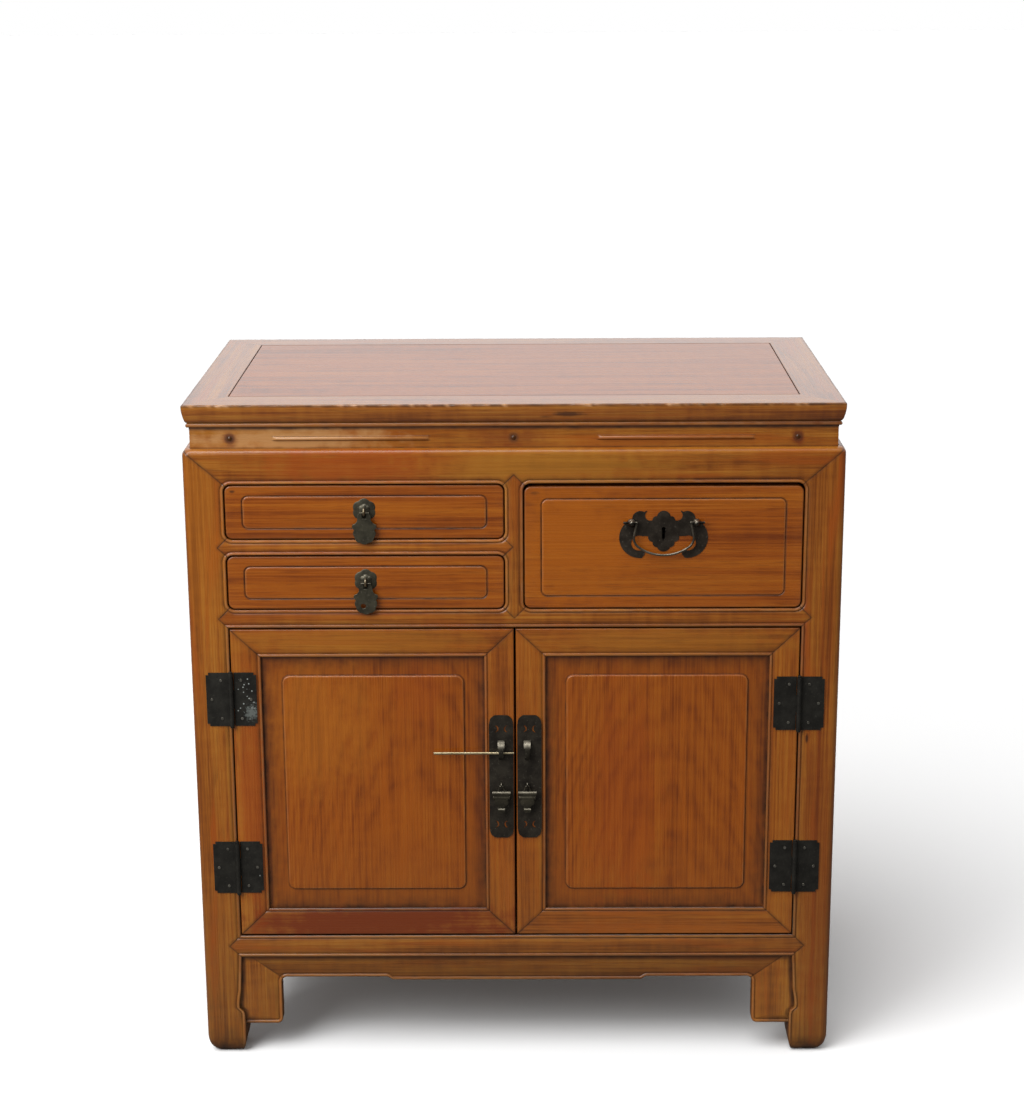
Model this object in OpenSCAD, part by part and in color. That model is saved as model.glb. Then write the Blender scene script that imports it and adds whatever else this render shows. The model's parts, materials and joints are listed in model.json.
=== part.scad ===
// Waisted side cabinet in hardwood: three drawers over a pair of framed doors.
// The front faces -Y, +X is to the right and the floor is at z = 0.

/* [Body] */
// Width over the legs
body_w = 760; // [700:5:860]
// Depth over the legs
body_d = 436; // [400:4:500]
// Width of a leg seen from the front or from the side
leg_w = 46; // [42:1:52]
// Height of the bottom rails above the floor
rail_clear = 129; // [118:1:150]
// Height of the bottom rails
bottom_rail_h = 28; // [22:1:34]
// Height of the door opening
door_open_h = 390; // [350:5:450]
// Height of the middle rails
mid_rail_h = 22; // [18:1:28]
// Height of the drawer opening
drawer_open_h = 150.5; // [138:0.5:180]
// Height of the top rails
top_rail_h = 40.5; // [32:0.5:50]
// Height of the rail between the two small drawers
small_rail_h = 18; // [14:1:22]
// Width of the post between the small drawers and the large one
divider_w = 21; // [17:1:26]
// Thickness of the rails from front to back
rail_t = 30; // [24:1:34]
// Radius of the long edges of the legs
leg_round = 8; // [3:0.5:12]
// Radius of the upper edge of the top rails
top_round = 7; // [3:0.5:10]

/* [Feet and aprons] */
// How far a leg narrows above its foot
leg_taper = 5; // [2:0.5:7]
// How far a foot swells past the leg's width
foot_swell = 1.5; // [0.5:0.5:3]
// Height of the top of the swell
swell_top = 68; // [58:1:80]
// Height of the widest place of the foot
swell_low = 49; // [38:1:54]
// Height of the rounding under a foot
foot_round_h = 24; // [14:1:30]
// Width of the rounding under a foot
foot_round_w = 13; // [8:1:16]
// Height of the front and side aprons
apron_h = 29; // [24:1:36]
// Thickness of the aprons and spandrels
apron_t = 16; // [12:1:20]
// How far the aprons stand back from the legs
apron_inset = 5; // [3:0.5:8]
// Width of a spandrel
spandrel_w = 47; // [38:1:56]
// Height of the underside of the spandrels above the floor
spandrel_clear = 38; // [30:1:48]
// Half the length of the deeper middle of the front apron
apron_drop_half = 150; // [110:5:190]
// Depth of the step to the middle of the front apron
apron_drop = 4.2; // [2:0.2:6]

/* [Top and waist] */
// Height of the waist
waist_h = 23; // [18:1:30]
// How far the waist stands back from the legs
waist_inset = 9; // [7:0.5:12]
// Thickness of the waist boards
waist_t = 14; // [10:1:18]
// Thickness of the top frame
top_t = 29; // [27:1:34]
// How far the top's edge stands back from the legs
top_set_in = 1.5; // [0:0.5:3]
// Width of the top frame's front member
top_front_w = 50; // [46:1:60]
// Width of the top frame's back member
top_back_w = 44; // [38:1:52]
// Width of the top frame's end members
top_end_w = 47.5; // [42:0.5:56]
// Thickness of the top panel
top_panel_t = 13; // [11:1:15]
// Width of the battens under the top panel
batten_w = 32; // [24:1:44]
// Distance of each batten from the middle
batten_x = 160; // [120:5:220]
// Length of the carved strips on the waist
strip_l = 180; // [150:5:200]
// Distance of the middle of each strip from the middle of the waist
strip_x = 186; // [170:2:200]
// Radius of the carved strips
strip_r = 2.3; // [1.5:0.1:3]
// Distance of the outer pegs from the middle of the waist
peg_x = 325; // [305:5:335]
// Radius of the waist pegs
peg_r = 2.6; // [1.8:0.1:3.5]

/* [Panels] */
// Thickness of the side and back panels
panel_t = 8; // [6:0.5:10]
// How far the side and back panels stand back from the rails
panel_inset = 9; // [6:0.5:12]
// Length of the tongues that hold a panel in its frame
tongue = 6; // [4:0.5:8]
// Thickness of the cupboard floor
floor_t = 12; // [10:1:16]
// How far the cupboard floor stands above the bottom rails
floor_rise = 4; // [3:0.5:6]

/* [Doors] */
// Thickness of the door frames
door_t = 22; // [18:1:26]
// Width of the door stiles
stile_w = 35; // [32:0.5:42]
// Height of the door rails
door_rail_h = 34; // [30:1:42]
// How far the doors stand back from the legs
door_inset = 0.5; // [0:0.5:1.5]
// Gap between a door and its leg
door_side_gap = 1.2; // [0.8:0.1:2]
// Gap over the doors
door_top_gap = 1.8; // [1:0.2:3]
// Gap under the doors
door_low_gap = 1.6; // [1:0.2:3]
// Gap between the two doors
meet_gap = 2.2; // [1.8:0.1:3]
// How far the door panels stand back from the door frames
door_panel_inset = 5; // [4:0.5:7]
// Thickness of the door panels at their edges
door_panel_t = 7; // [6:0.5:9]
// How far the raised field stands out of a door panel
field_rise = 2; // [1:0.5:3]
// Margin round the raised field of a door panel
field_margin = 24; // [18:1:32]

/* [Drawers] */
// Thickness of the drawer fronts
drawer_front_t = 20; // [17:1:24]
// How far the drawer fronts stand back from the rails
drawer_inset = 1.5; // [0.5:0.5:3]
// Gap at the sides of the drawer fronts
drawer_side_gap = 1.2; // [0.8:0.1:2]
// Gap over the small drawers
small_top_gap = 1.8; // [1:0.2:3]
// Gap over the large drawer
large_top_gap = 4; // [1.4:0.2:5]
// Gap under the drawer fronts
drawer_low_gap = 1; // [0.6:0.2:2]
// Thickness of the drawer sides and backs
drawer_side_t = 9; // [7:0.5:11]
// Thickness of the drawer bottoms
drawer_bottom_t = 6; // [5:0.5:8]
// Height of the drawer bottoms above the runners
drawer_bottom_z = 6; // [4:1:9]
// How far the drawer sides stay below the top of the opening
drawer_side_drop = 8; // [6:1:14]
// Gap between a drawer and what it slides on
run_gap = 0.3; // [0.2:0.1:0.5]
// Radius of the corners of the drawer openings
open_round = 9; // [5:0.5:12]
// Margin beside the raised field of a drawer front
drawer_field_side = 20; // [14:1:26]
// Margin over and under the raised field of a small drawer front
small_field_margin = 12.5; // [9:0.5:16]
// Margin over and under the raised field of the large drawer front
large_field_margin = 15; // [11:0.5:22]
// How far the raised field stands out of a drawer front
drawer_field_rise = 1.2; // [0.6:0.2:2]
// Thickness of the board between the small drawers and the large one
partition_t = 18; // [14:1:21]
// Width of a runner under a drawer side
runner_w = 18; // [16:1:24]
// Height of a runner
runner_h = 16; // [12:1:18]

/* [Beads] */
// Width of the bead round each opening
bead_w = 3.6; // [2.8:0.2:4.4]
// Width of the groove beside a bead
groove_w = 1; // [0.6:0.1:1.4]
// Depth of the groove beside a bead
groove_h = 1.2; // [0.6:0.1:2]

/* [Hinges] */
// Height of a hinge
hinge_h = 66; // [54:1:76]
// Reach of a hinge leaf from the pin
hinge_leaf_w = 29.5; // [24:0.5:32]
// Thickness of the hinge leaves and of the other plates
plate_t = 1.2; // [0.8:0.1:1.6]
// Radius of a hinge knuckle
knuckle_r = 2.9; // [2.5:0.1:3.4]
// Radius of a hinge pin
hinge_pin_r = 1.4; // [1.1:0.1:1.7]
// Distance of the lower hinges from the bottom of the opening
hinge_low = 90; // [60:1:120]
// Distance of the left upper hinge from the top of the opening
hinge_top_left = 87; // [60:1:120]
// Distance of the right upper hinge from the top of the opening
hinge_top_right = 94; // [60:1:120]
// Size of the notches in the corners of a leaf
leaf_notch = 3; // [1.5:0.5:4]
// Radius of a nail's shank
nail_r = 0.8; // [0.6:0.1:1]
// Radius of a nail's head
nail_head_r = 1.7; // [1.3:0.1:2.2]

/* [Lock plates] */
// Width of a lock plate
lock_w = 28.8; // [24:0.2:30]
// Height of a lock plate
lock_h = 154.5; // [130:0.5:180]
// Distance of a lock plate's middle line from the middle of the cabinet
lock_x = 16.7; // [16.2:0.1:17.6]
// Height of the lock plates' middle above the middle of the doors
lock_rise = 10; // [-10:1:30]
// Height of the pin's staples above the middle of the lock plates
staple_rise = 33.8; // [20:0.2:40]
// How far the right staple and pendant stand left of the middle line of their plate
right_offset = 2.6; // [0:0.2:4]
// Radius of a staple's outer curve
staple_r = 12.4; // [11:0.1:14]
// How far a staple stands out of its plate
staple_out = 10; // [9.6:0.1:11]
// Width of a staple
staple_w = 8; // [6:0.2:10]
// Half the height of the hole through a staple
staple_hole_r = 4.4; // [3.4:0.1:4.6]
// Radius of the lock pin
lock_pin_r = 1.6; // [1.2:0.1:1.9]
// Length of the lock pin
lock_pin_l = 95; // [84:1:110]
// Distance of the pendants' pivot below the middle of the lock plates
pendant_drop = 9; // [4:1:16]
// Width of a door pendant's rim
pendant_w = 21.5; // [18:0.5:24]
// Thickness of a door pendant
pendant_t = 5; // [3:0.2:6.4]

/* [Pulls] */
// Height of the small pulls' pivot above the middle of their drawers
pull_rise = 0; // [-4:1:4]
// Radius of the ring that carries a small pull
ring_r = 4; // [3.6:0.1:4.6]
// Radius of that ring's wire
ring_wire_r = 1.3; // [1:0.1:1.4]
// Thickness of a small pull's pendant
pull_t = 1.5; // [1:0.1:2]
// Height of the handle plate's middle above the middle of the large drawer
handle_rise = 19; // [10:1:26]
// Distance of the handle's posts from its middle
post_x = 37.3; // [35:0.1:39]
// Height of the posts above the handle plate's middle
post_z = 10.7; // [8:0.1:12]
// Radius of a post
post_r = 2.5; // [2.2:0.1:3]
// Radius of a post's head
post_head_r = 3.3; // [2.8:0.1:3.8]
// Radius of the handle's wire
bail_r = 1.35; // [1:0.05:1.5]
// Height of the handle from its pivot to its lowest place
bail_drop = 40; // [34:1:44]

/* [Hidden] */
$fn = 48;
arc_n = 10;
cut = 1;
fit = 0.05;
// Gap at a hung piece where it bears, and gap where a door or a drawer meets its stop
hang_gap = 0.15;
stop_gap = 0.4;

// Levels, from the floor up
z_rail = rail_clear;
z_door = z_rail + bottom_rail_h;
z_mid = z_door + door_open_h;
z_draw = z_mid + mid_rail_h;
z_top_rail = z_draw + drawer_open_h;
z_body = z_top_rail + top_rail_h;
z_waist = z_body + waist_h;
total_h = z_waist + top_t;
small_open_h = (drawer_open_h - small_rail_h) / 2;
z_small = z_draw + small_open_h;
z_upper = z_small + small_rail_h;

// Planes, with the origin in the middle of the whole box
post_out = 8.4;
handle_reach = post_out + post_head_r + plate_t - drawer_inset;
staple_reach = staple_out + plate_t - door_inset;
front_reach = max(handle_reach, staple_reach);
front = -(body_d - front_reach) / 2;
back = front + body_d;
mid_y = (front + back) / 2;
half_w = body_w / 2;
inner = half_w - leg_w;
door_face = front + door_inset;
drawer_face = front + drawer_inset;
door_y1 = door_face + door_t;
back_panel_y = back - panel_inset - panel_t;

// Doors
door_x0 = -inner + door_side_gap;
door_x1 = -meet_gap / 2;
door_z0 = z_door + door_low_gap;
door_z1 = z_mid - door_top_gap;
lock_z = (door_z0 + door_z1) / 2 + lock_rise;
staple_z = lock_z + staple_rise;
pivot_z = lock_z - pendant_drop;
lock_face = door_face - plate_t;

// Hinges
knuckle_gap = 0.3;
hinge_x = inner - door_side_gap / 2;
hinge_y = front - knuckle_r - hang_gap;
hinge_low_z = z_door + hinge_low;
left_hinges = [hinge_low_z, z_mid - hinge_top_left];
right_hinges = [hinge_low_z, z_mid - hinge_top_right];
nail_l = 14;
nail_head_h = 0.8;

// Drawers: left edge, right edge, bottom and top of each opening, and the gap over its front
upper_open = [-inner, -divider_w / 2, z_upper, z_top_rail];
lower_open = [-inner, -divider_w / 2, z_draw, z_small];
large_open = [divider_w / 2, inner, z_draw, z_top_rail];
drawer_end = back_panel_y - stop_gap;
guide_w = 12;
guide_h = 12;
guide_gap = 0.7;

// How far a drawer's sides stand in from its opening, to clear the round corners
corner_gap = 0.8;
box_inset = open_round - sqrt(2 * open_round * run_gap - run_gap * run_gap) + corner_gap;

// Small pulls and the handle
pull_x = (upper_open[0] + upper_open[1]) / 2;
ring_sink = 0.4;
ring_depth = ring_r + ring_wire_r - ring_sink;
pull_bar_r = 1.1;
bar_drop = ring_r - ring_wire_r - pull_bar_r - hang_gap;
handle_x = (large_open[0] + large_open[1]) / 2;
handle_z = (z_draw + z_top_rail) / 2 + handle_rise;
bail_depth = 5.2;
bail_tip = post_x + 9.5;

// Door staples' lower rings
eye_r = 2.9;
eye_wire_r = 0.8;
eye_depth = eye_r + eye_wire_r + 1.4;
crossbar_r = 0.8;
crossbar_drop = eye_r - eye_wire_r - crossbar_r - hang_gap;

// Points along part of an ellipse about c with half-axes r, from angle a0 to a1
function arc(c, r, a0, a1, n = arc_n) =
    [for (i = [0 : n]) let (a = a0 + (a1 - a0) * i / n) [c[0] + r[0] * cos(a), c[1] + r[1] * sin(a)]];

// Outline of a rectangle with round corners
function round_rect(x0, y0, x1, y1, r) = concat(
    arc([x1 - r, y1 - r], [r, r], 0, 90),
    arc([x0 + r, y1 - r], [r, r], 90, 180),
    arc([x0 + r, y0 + r], [r, r], 180, 270),
    arc([x1 - r, y0 + r], [r, r], 270, 360));

// Smooth step between two levels: 1 at t = 0, 0 at t = 1
function ease(t) = (1 + cos(180 * t)) / 2;

// A front view, drawn in x and z, made solid from y0 to y1
module front_slab(y0, y1) {
    translate([0, y1, 0]) rotate([90, 0, 0]) linear_extrude(y1 - y0) children();
}

// A side view, drawn in y and z, made solid from x0 to x1
module side_slab(x0, x1) {
    translate([x0, 0, 0]) rotate([90, 0, 90]) linear_extrude(x1 - x0) children();
}

// A box from one corner to the opposite one
module box(a, b) {
    translate(a) cube(b - a);
}

module rod_y(x, z, y0, y1, r) {
    translate([x, y1, z]) rotate([90, 0, 0]) cylinder(r = r, h = y1 - y0);
}

module rod_x(y, z, x0, x1, r) {
    translate([x0, y, z]) rotate([0, 90, 0]) cylinder(r = r, h = x1 - x0);
}

// Children, and their mirror image in the middle plane of the width
module both_sides() {
    children();
    mirror([1, 0, 0]) children();
}

// Children, carried from the front to the back by a mirror in the middle of the depth
module to_back() {
    translate([0, 2 * mid_y, 0]) mirror([0, 1, 0]) children();
}

// Outer surface of the body, with the long edges and the upper edges rounded
module body_block() {
    intersection() {
        linear_extrude(z_body) polygon(round_rect(-half_w, front, half_w, back, leg_round));
        front_slab(front - cut, back + cut) polygon(concat(
            [[half_w, -cut]],
            arc([half_w - top_round, z_body - top_round], [top_round, top_round], 0, 90),
            arc([-half_w + top_round, z_body - top_round], [top_round, top_round], 90, 180),
            [[-half_w, -cut]]));
        side_slab(-half_w - cut, half_w + cut) polygon(concat(
            [[back, -cut]],
            arc([back - top_round, z_body - top_round], [top_round, top_round], 0, 90),
            arc([front + top_round, z_body - top_round], [top_round, top_round], 90, 180),
            [[front, -cut]]));
    }
}

// Inner edge of a leg below the bottom rail, as [distance from the outer face, height],
// drawn in by e
function leg_edge(e) = concat(
    [[leg_w - e, z_rail + e]],
    [for (i = [0 : arc_n]) let (t = i / arc_n)
        [leg_w - leg_taper - e + (foot_swell + leg_taper) * (1 - ease(t)),
         swell_top + (swell_low - swell_top) * t]]);

// A leg seen square on, as [distance from the outer face, height]
function leg_view() = concat(
    [[0, z_body], [leg_w, z_top_rail]],
    leg_edge(0),
    arc([leg_w + foot_swell - foot_round_w, foot_round_h], [foot_round_w, foot_round_h], 0, -90),
    arc([foot_round_w, foot_round_h], [foot_round_w, foot_round_h], -90, -180));

// The left front leg before anything is let into it
module leg_blank() {
    reach = leg_w + foot_swell + cut;
    intersection() {
        translate([-half_w, 0, 0]) front_slab(front - cut, front + reach) polygon(leg_view());
        translate([0, front, 0]) side_slab(-half_w - cut, -half_w + reach) polygon(leg_view());
        body_block();
    }
}

// A bead line along the inner edge of a leg's foot, seen square on
module foot_bead_view() {
    near = leg_edge(bead_w);
    far = leg_edge(bead_w + groove_w);
    polygon(concat(
        near,
        [[leg_w + foot_swell - bead_w, foot_round_h], [leg_w + foot_swell - bead_w - groove_w, foot_round_h]],
        [for (i = [len(far) - 1 : -1 : 0]) far[i]]));
}

// The line beside the bead on the lower edge of a bottom rail that runs from x0 to x1
module rail_bead_view(x0, x1) {
    z = z_rail + bead_w;
    polygon([[x0 - bead_w, z], [x1 + bead_w, z],
        [x1 + bead_w + groove_w, z + groove_w], [x0 - bead_w - groove_w, z + groove_w]]);
}

// A ring round an opening, beside its bead
module bead_ring(x0, z0, x1, z1, r) {
    a = bead_w;
    b = bead_w + groove_w;
    difference() {
        polygon(r > 0 ? round_rect(x0 - b, z0 - b, x1 + b, z1 + b, r + b)
            : [[x0 - b, z0 - b], [x1 + b, z0 - b], [x1 + b, z1 + b], [x0 - b, z1 + b]]);
        polygon(r > 0 ? round_rect(x0 - a, z0 - a, x1 + a, z1 + a, r + a)
            : [[x0 - a, z0 - a], [x1 + a, z0 - a], [x1 + a, z1 + a], [x0 - a, z1 + a]]);
    }
}

// The lines cut beside the beads of the front
module front_grooves() {
    front_slab(front - cut, front + groove_h) {
        bead_ring(upper_open[0], upper_open[2], upper_open[1], upper_open[3], open_round);
        bead_ring(lower_open[0], lower_open[2], lower_open[1], lower_open[3], open_round);
        bead_ring(large_open[0], large_open[2], large_open[1], large_open[3], open_round);
        bead_ring(-inner, z_door, inner, z_mid, 0);
        rail_bead_view(-inner, inner);
        translate([-half_w, 0]) foot_bead_view();
        mirror([1, 0]) translate([-half_w, 0]) foot_bead_view();
    }
}

// The lines cut beside the beads of the left side
module side_grooves() {
    y0 = front + leg_w;
    y1 = back - leg_w;
    side_slab(-half_w - cut, -half_w + groove_h) {
        bead_ring(y0, z_draw, y1, z_top_rail, 0);
        bead_ring(y0, z_door, y1, z_mid, 0);
        rail_bead_view(y0, y1);
        translate([front, 0]) foot_bead_view();
        translate([back, 0]) mirror([1, 0]) foot_bead_view();
    }
}

// A rail seen square on, with a pointed end past each of its shoulders
module pointed_rail(x0, x1, z0, z1) {
    tip = (z1 - z0) / 2;
    polygon([[x0, z0], [x0 - tip, z0 + tip], [x0, z1], [x1, z1], [x1 + tip, z0 + tip], [x1, z0]]);
}

module opening_view(o) {
    polygon(round_rect(o[0], o[2], o[1], o[3], open_round));
}

// Rounding in one corner of a drawer opening, on the side of the upright member or of the
// rail; sx and sz say which corner
module corner_fill(o, sx, sz, upright) {
    x = sx < 0 ? o[0] : o[1];
    z = sz < 0 ? o[2] : o[3];
    r = open_round;
    front_slab(front, front + rail_t) difference() {
        polygon(upright
            ? [[x, z], [x + sx, z], [x + sx, z - sz * r], [x - sx * r, z - sz * r]]
            : [[x, z], [x, z + sz], [x - sx * r, z + sz], [x - sx * r, z - sz * r]]);
        opening_view(o);
    }
}

module upright_fills(o, sx) {
    for (sz = [-1, 1]) corner_fill(o, sx, sz, true);
}

module rail_fills(o, sz) {
    for (sx = [-1, 1]) corner_fill(o, sx, sz, false);
}

module middle_rail_blank() {
    front_slab(front, front + rail_t) pointed_rail(-inner, inner, z_mid, z_draw);
}

module bottom_rail_blank() {
    front_slab(front, front + rail_t) pointed_rail(-inner, inner, z_rail, z_door);
}

module small_rail_blank() {
    front_slab(front, front + rail_t) pointed_rail(-inner, -divider_w / 2, z_small, z_upper);
}

module divider_blank() {
    half = divider_w / 2;
    front_slab(front, front + rail_t) polygon([
        [-half, z_draw], [0, z_draw - half], [half, z_draw],
        [half, z_top_rail], [0, z_top_rail + half], [-half, z_top_rail]]);
}

// A left side rail, with pointed shoulders where it meets the legs
module side_rail_blank(z0, z1) {
    side_slab(-half_w, -half_w + rail_t) pointed_rail(front + leg_w, back - leg_w, z0, z1);
}

module back_rail_blank(z0, z1) {
    box([-inner, back - rail_t, z0], [inner, back, z1]);
}

// Panels, each with its tongue all round
module side_panel(z0, z1) {
    x = -half_w + panel_inset;
    box([x, front + leg_w - tongue, z0 - tongue], [x + panel_t, back - leg_w + tongue, z1 + tongue]);
}

module back_panel(z0, z1) {
    box([-inner - tongue, back_panel_y, z0 - tongue], [inner + tongue, back_panel_y + panel_t, z1 + tongue]);
}

module side_panels() {
    color("sienna") both_sides() {
        side_panel(z_door, z_mid);
        side_panel(z_draw, z_top_rail);
    }
}

module back_panels() {
    color("sienna") {
        back_panel(z_door, z_mid);
        back_panel(z_draw, z_top_rail);
    }
}

// Cupboard floor: its front edge stands above the bottom rail and stops the doors
module floor_blank() {
    z1 = z_door + floor_rise;
    y0 = door_y1 + stop_gap;
    y1 = back - rail_t + tongue;
    x = half_w - rail_t + tongue;
    difference() {
        box([-x, y0, z1 - floor_t], [x, y1, z1]);
        both_sides() {
            box([-half_w, front, 0], [-inner, front + leg_w, z_body]);
            box([-half_w, back - leg_w, 0], [-inner, back, z_body]);
        }
        both_sides() box([-half_w, y0 - cut, z_door], [-half_w + rail_t, y1 + cut, z_body]);
        box([-half_w, back - rail_t, z_door], [half_w, back, z_body]);
    }
}

module cupboard_floor() {
    color("peru") floor_blank();
}

// What is let into the left front leg, or cut out of it
module leg_joints() {
    middle_rail_blank();
    bottom_rail_blank();
    side_rail_blank(z_mid, z_draw);
    side_rail_blank(z_rail, z_door);
    side_panel(z_door, z_mid);
    side_panel(z_draw, z_top_rail);
    side_grooves();
}

module leg_front_left() {
    color("chocolate") difference() {
        union() {
            leg_blank();
            upright_fills(upper_open, -1);
            upright_fills(lower_open, -1);
        }
        leg_joints();
        small_rail_blank();
        front_grooves();
        hinge_nail_holes(left_hinges);
    }
}

module leg_front_right() {
    color("chocolate") difference() {
        union() {
            mirror([1, 0, 0]) leg_blank();
            upright_fills(large_open, 1);
        }
        mirror([1, 0, 0]) leg_joints();
        front_grooves();
        mirror([1, 0, 0]) hinge_nail_holes(right_hinges);
    }
}

module legs_back() {
    color("chocolate") both_sides() difference() {
        to_back() leg_blank();
        side_rail_blank(z_mid, z_draw);
        side_rail_blank(z_rail, z_door);
        side_panel(z_door, z_mid);
        side_panel(z_draw, z_top_rail);
        side_grooves();
        back_panel(z_door, z_mid);
        back_panel(z_draw, z_top_rail);
    }
}

// A top rail along the front, mitred in plan and, against the legs, in the front view
module top_rail_blank() {
    intersection() {
        linear_extrude(z_body) polygon([
            [-half_w, front], [half_w, front], [inner, front + leg_w], [-inner, front + leg_w]]);
        front_slab(front - cut, front + leg_w + cut) polygon([
            [-half_w, z_body], [half_w, z_body], [inner, z_top_rail], [-inner, z_top_rail]]);
        body_block();
    }
}

module side_top_rail_blank() {
    y0 = front + leg_w;
    y1 = back - leg_w;
    intersection() {
        linear_extrude(z_body) polygon([[-half_w, front], [-inner, y0], [-inner, y1], [-half_w, back]]);
        side_slab(-half_w - cut, -inner + cut) polygon([
            [front, z_body], [back, z_body], [y1, z_top_rail], [y0, z_top_rail]]);
        body_block();
    }
}

// Front and back rails of the top; the front one is shaped round the drawer openings
module top_rails_long() {
    color("peru") {
        difference() {
            union() {
                top_rail_blank();
                rail_fills(upper_open, 1);
                rail_fills(large_open, 1);
            }
            divider_blank();
            front_grooves();
        }
        difference() {
            to_back() top_rail_blank();
            back_panel(z_draw, z_top_rail);
        }
    }
}

module top_rails_end() {
    color("peru") both_sides() difference() {
        side_top_rail_blank();
        side_panel(z_draw, z_top_rail);
        side_grooves();
    }
}

module divider_post() {
    color("peru") difference() {
        union() {
            divider_blank();
            upright_fills(upper_open, 1);
            upright_fills(lower_open, 1);
            upright_fills(large_open, -1);
        }
        small_rail_blank();
        front_grooves();
    }
}

module small_drawer_rail() {
    color("peru") difference() {
        union() {
            small_rail_blank();
            rail_fills(upper_open, -1);
            rail_fills(lower_open, 1);
        }
        front_grooves();
    }
}

module middle_rail_front() {
    color("peru") difference() {
        union() {
            middle_rail_blank();
            rail_fills(lower_open, -1);
            rail_fills(large_open, -1);
        }
        divider_blank();
        front_grooves();
    }
}

module middle_rails_rear() {
    color("peru") {
        difference() {
            back_rail_blank(z_mid, z_draw);
            back_panel(z_door, z_mid);
            back_panel(z_draw, z_top_rail);
        }
        both_sides() difference() {
            side_rail_blank(z_mid, z_draw);
            side_panel(z_door, z_mid);
            side_panel(z_draw, z_top_rail);
            side_grooves();
        }
    }
}

module bottom_rail_front() {
    color("peru") difference() {
        bottom_rail_blank();
        floor_blank();
        front_grooves();
    }
}

module bottom_rails_rear() {
    color("peru") {
        difference() {
            back_rail_blank(z_rail, z_door);
            back_panel(z_door, z_mid);
            floor_blank();
        }
        both_sides() difference() {
            side_rail_blank(z_rail, z_door);
            side_panel(z_door, z_mid);
            floor_blank();
            side_grooves();
        }
    }
}

// Underside of an apron with its spandrels, drawn in by e; drop is the deeper middle
apron_r = 7;
apron_step = 9;
module apron_outline(half, drop, e = 0) {
    z0 = z_rail - apron_h;
    r = apron_r;
    step = apron_step;
    polygon(concat(
        [[-half - leg_taper - cut, z_rail], [-half - leg_taper - cut, spandrel_clear + e]],
        arc([-half + spandrel_w - r, spandrel_clear + r], [r - e, r - e], -90, 0),
        arc([-half + spandrel_w + r, z0 - r], [r + e, r + e], 180, 90),
        drop > 0 ? [for (i = [0 : arc_n]) let (t = i / arc_n)
            [-apron_drop_half - step * (1 - t), z0 + e - drop * (1 - ease(t))]] : [],
        drop > 0 ? [for (i = [0 : arc_n]) let (t = i / arc_n)
            [apron_drop_half + step * t, z0 + e - drop * ease(t)]] : [],
        arc([half - spandrel_w - r, z0 - r], [r + e, r + e], 90, 0),
        arc([half - spandrel_w + r, spandrel_clear + r], [r - e, r - e], 180, 270),
        [[half + leg_taper + cut, spandrel_clear + e], [half + leg_taper + cut, z_rail]]));
}

// The part of that outline between the two mitres, which is the apron itself: a mitre
// runs from mitre_in beside the leg down to the round corner, and on past the edge
mitre_in = 8;
module apron_zone(half) {
    z0 = z_rail - apron_h;
    run = half - spandrel_w;
    polygon([[-half + mitre_in, z_rail], [-run + 2, z0 - 1], [-run + mitre_in, z0 - 12],
        [run - mitre_in, z0 - 12], [run - 2, z0 - 1], [half - mitre_in, z_rail]]);
}

module apron_groove(half, drop) {
    difference() {
        apron_outline(half, drop, bead_w);
        apron_outline(half, drop, bead_w + groove_w);
    }
}

// The legs at both ends of an apron, seen square on
module feet_view(half) {
    translate([-half - leg_w, 0]) polygon(leg_view());
    translate([half + leg_w, 0]) mirror([1, 0]) polygon(leg_view());
}

// An apron, or the spandrels at its ends, between legs that stand half to either side of
// the middle; drop is the depth of the step in its lower edge
module apron_piece(half, drop, ends) {
    difference() {
        front_slab(0, apron_t) {
            if (ends) {
                difference() {
                    apron_outline(half, drop);
                    apron_zone(half);
                    feet_view(half);
                }
            } else {
                intersection() {
                    apron_outline(half, drop);
                    apron_zone(half);
                }
            }
        }
        front_slab(-cut, groove_h) apron_groove(half, drop);
    }
}

// Children, turned from the front to both ends of the cabinet
module to_ends() {
    both_sides() translate([-half_w + apron_inset, mid_y, 0]) rotate([0, 0, -90]) children();
}

side_half = body_d / 2 - leg_w;

module apron_front() {
    color("peru") translate([0, front + apron_inset, 0]) apron_piece(inner, apron_drop, false);
}

module side_aprons() {
    color("peru") to_ends() apron_piece(side_half, 0, false);
}

module spandrels() {
    color("peru") {
        translate([0, front + apron_inset, 0]) apron_piece(inner, apron_drop, true);
        to_ends() apron_piece(side_half, 0, true);
    }
}

// A waist board along the front, mitred in plan
module waist_board(half, y) {
    translate([0, y, z_body]) linear_extrude(waist_h) polygon([
        [-half, 0], [half, 0], [half - waist_t, waist_t], [-half + waist_t, waist_t]]);
}

peg_z = z_body + waist_h / 2;
waist_y = front + waist_inset;

module waist_boards_long() {
    color("peru") {
        difference() {
            union() {
                waist_board(half_w - waist_inset, waist_y);
                for (side = [-1, 1])
                    rod_x(waist_y, peg_z, side * strip_x - strip_l / 2, side * strip_x + strip_l / 2, strip_r);
            }
            for (x = [-peg_x, 0, peg_x]) rod_y(x, peg_z, waist_y - cut, waist_y + waist_t + cut, peg_r);
        }
        to_back() waist_board(half_w - waist_inset, waist_y);
    }
}

module waist_boards_end() {
    color("peru") translate([0, mid_y, 0]) for (turn = [90, -90]) rotate([0, 0, turn])
        waist_board(body_d / 2 - waist_inset, -half_w + waist_inset);
}

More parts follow.
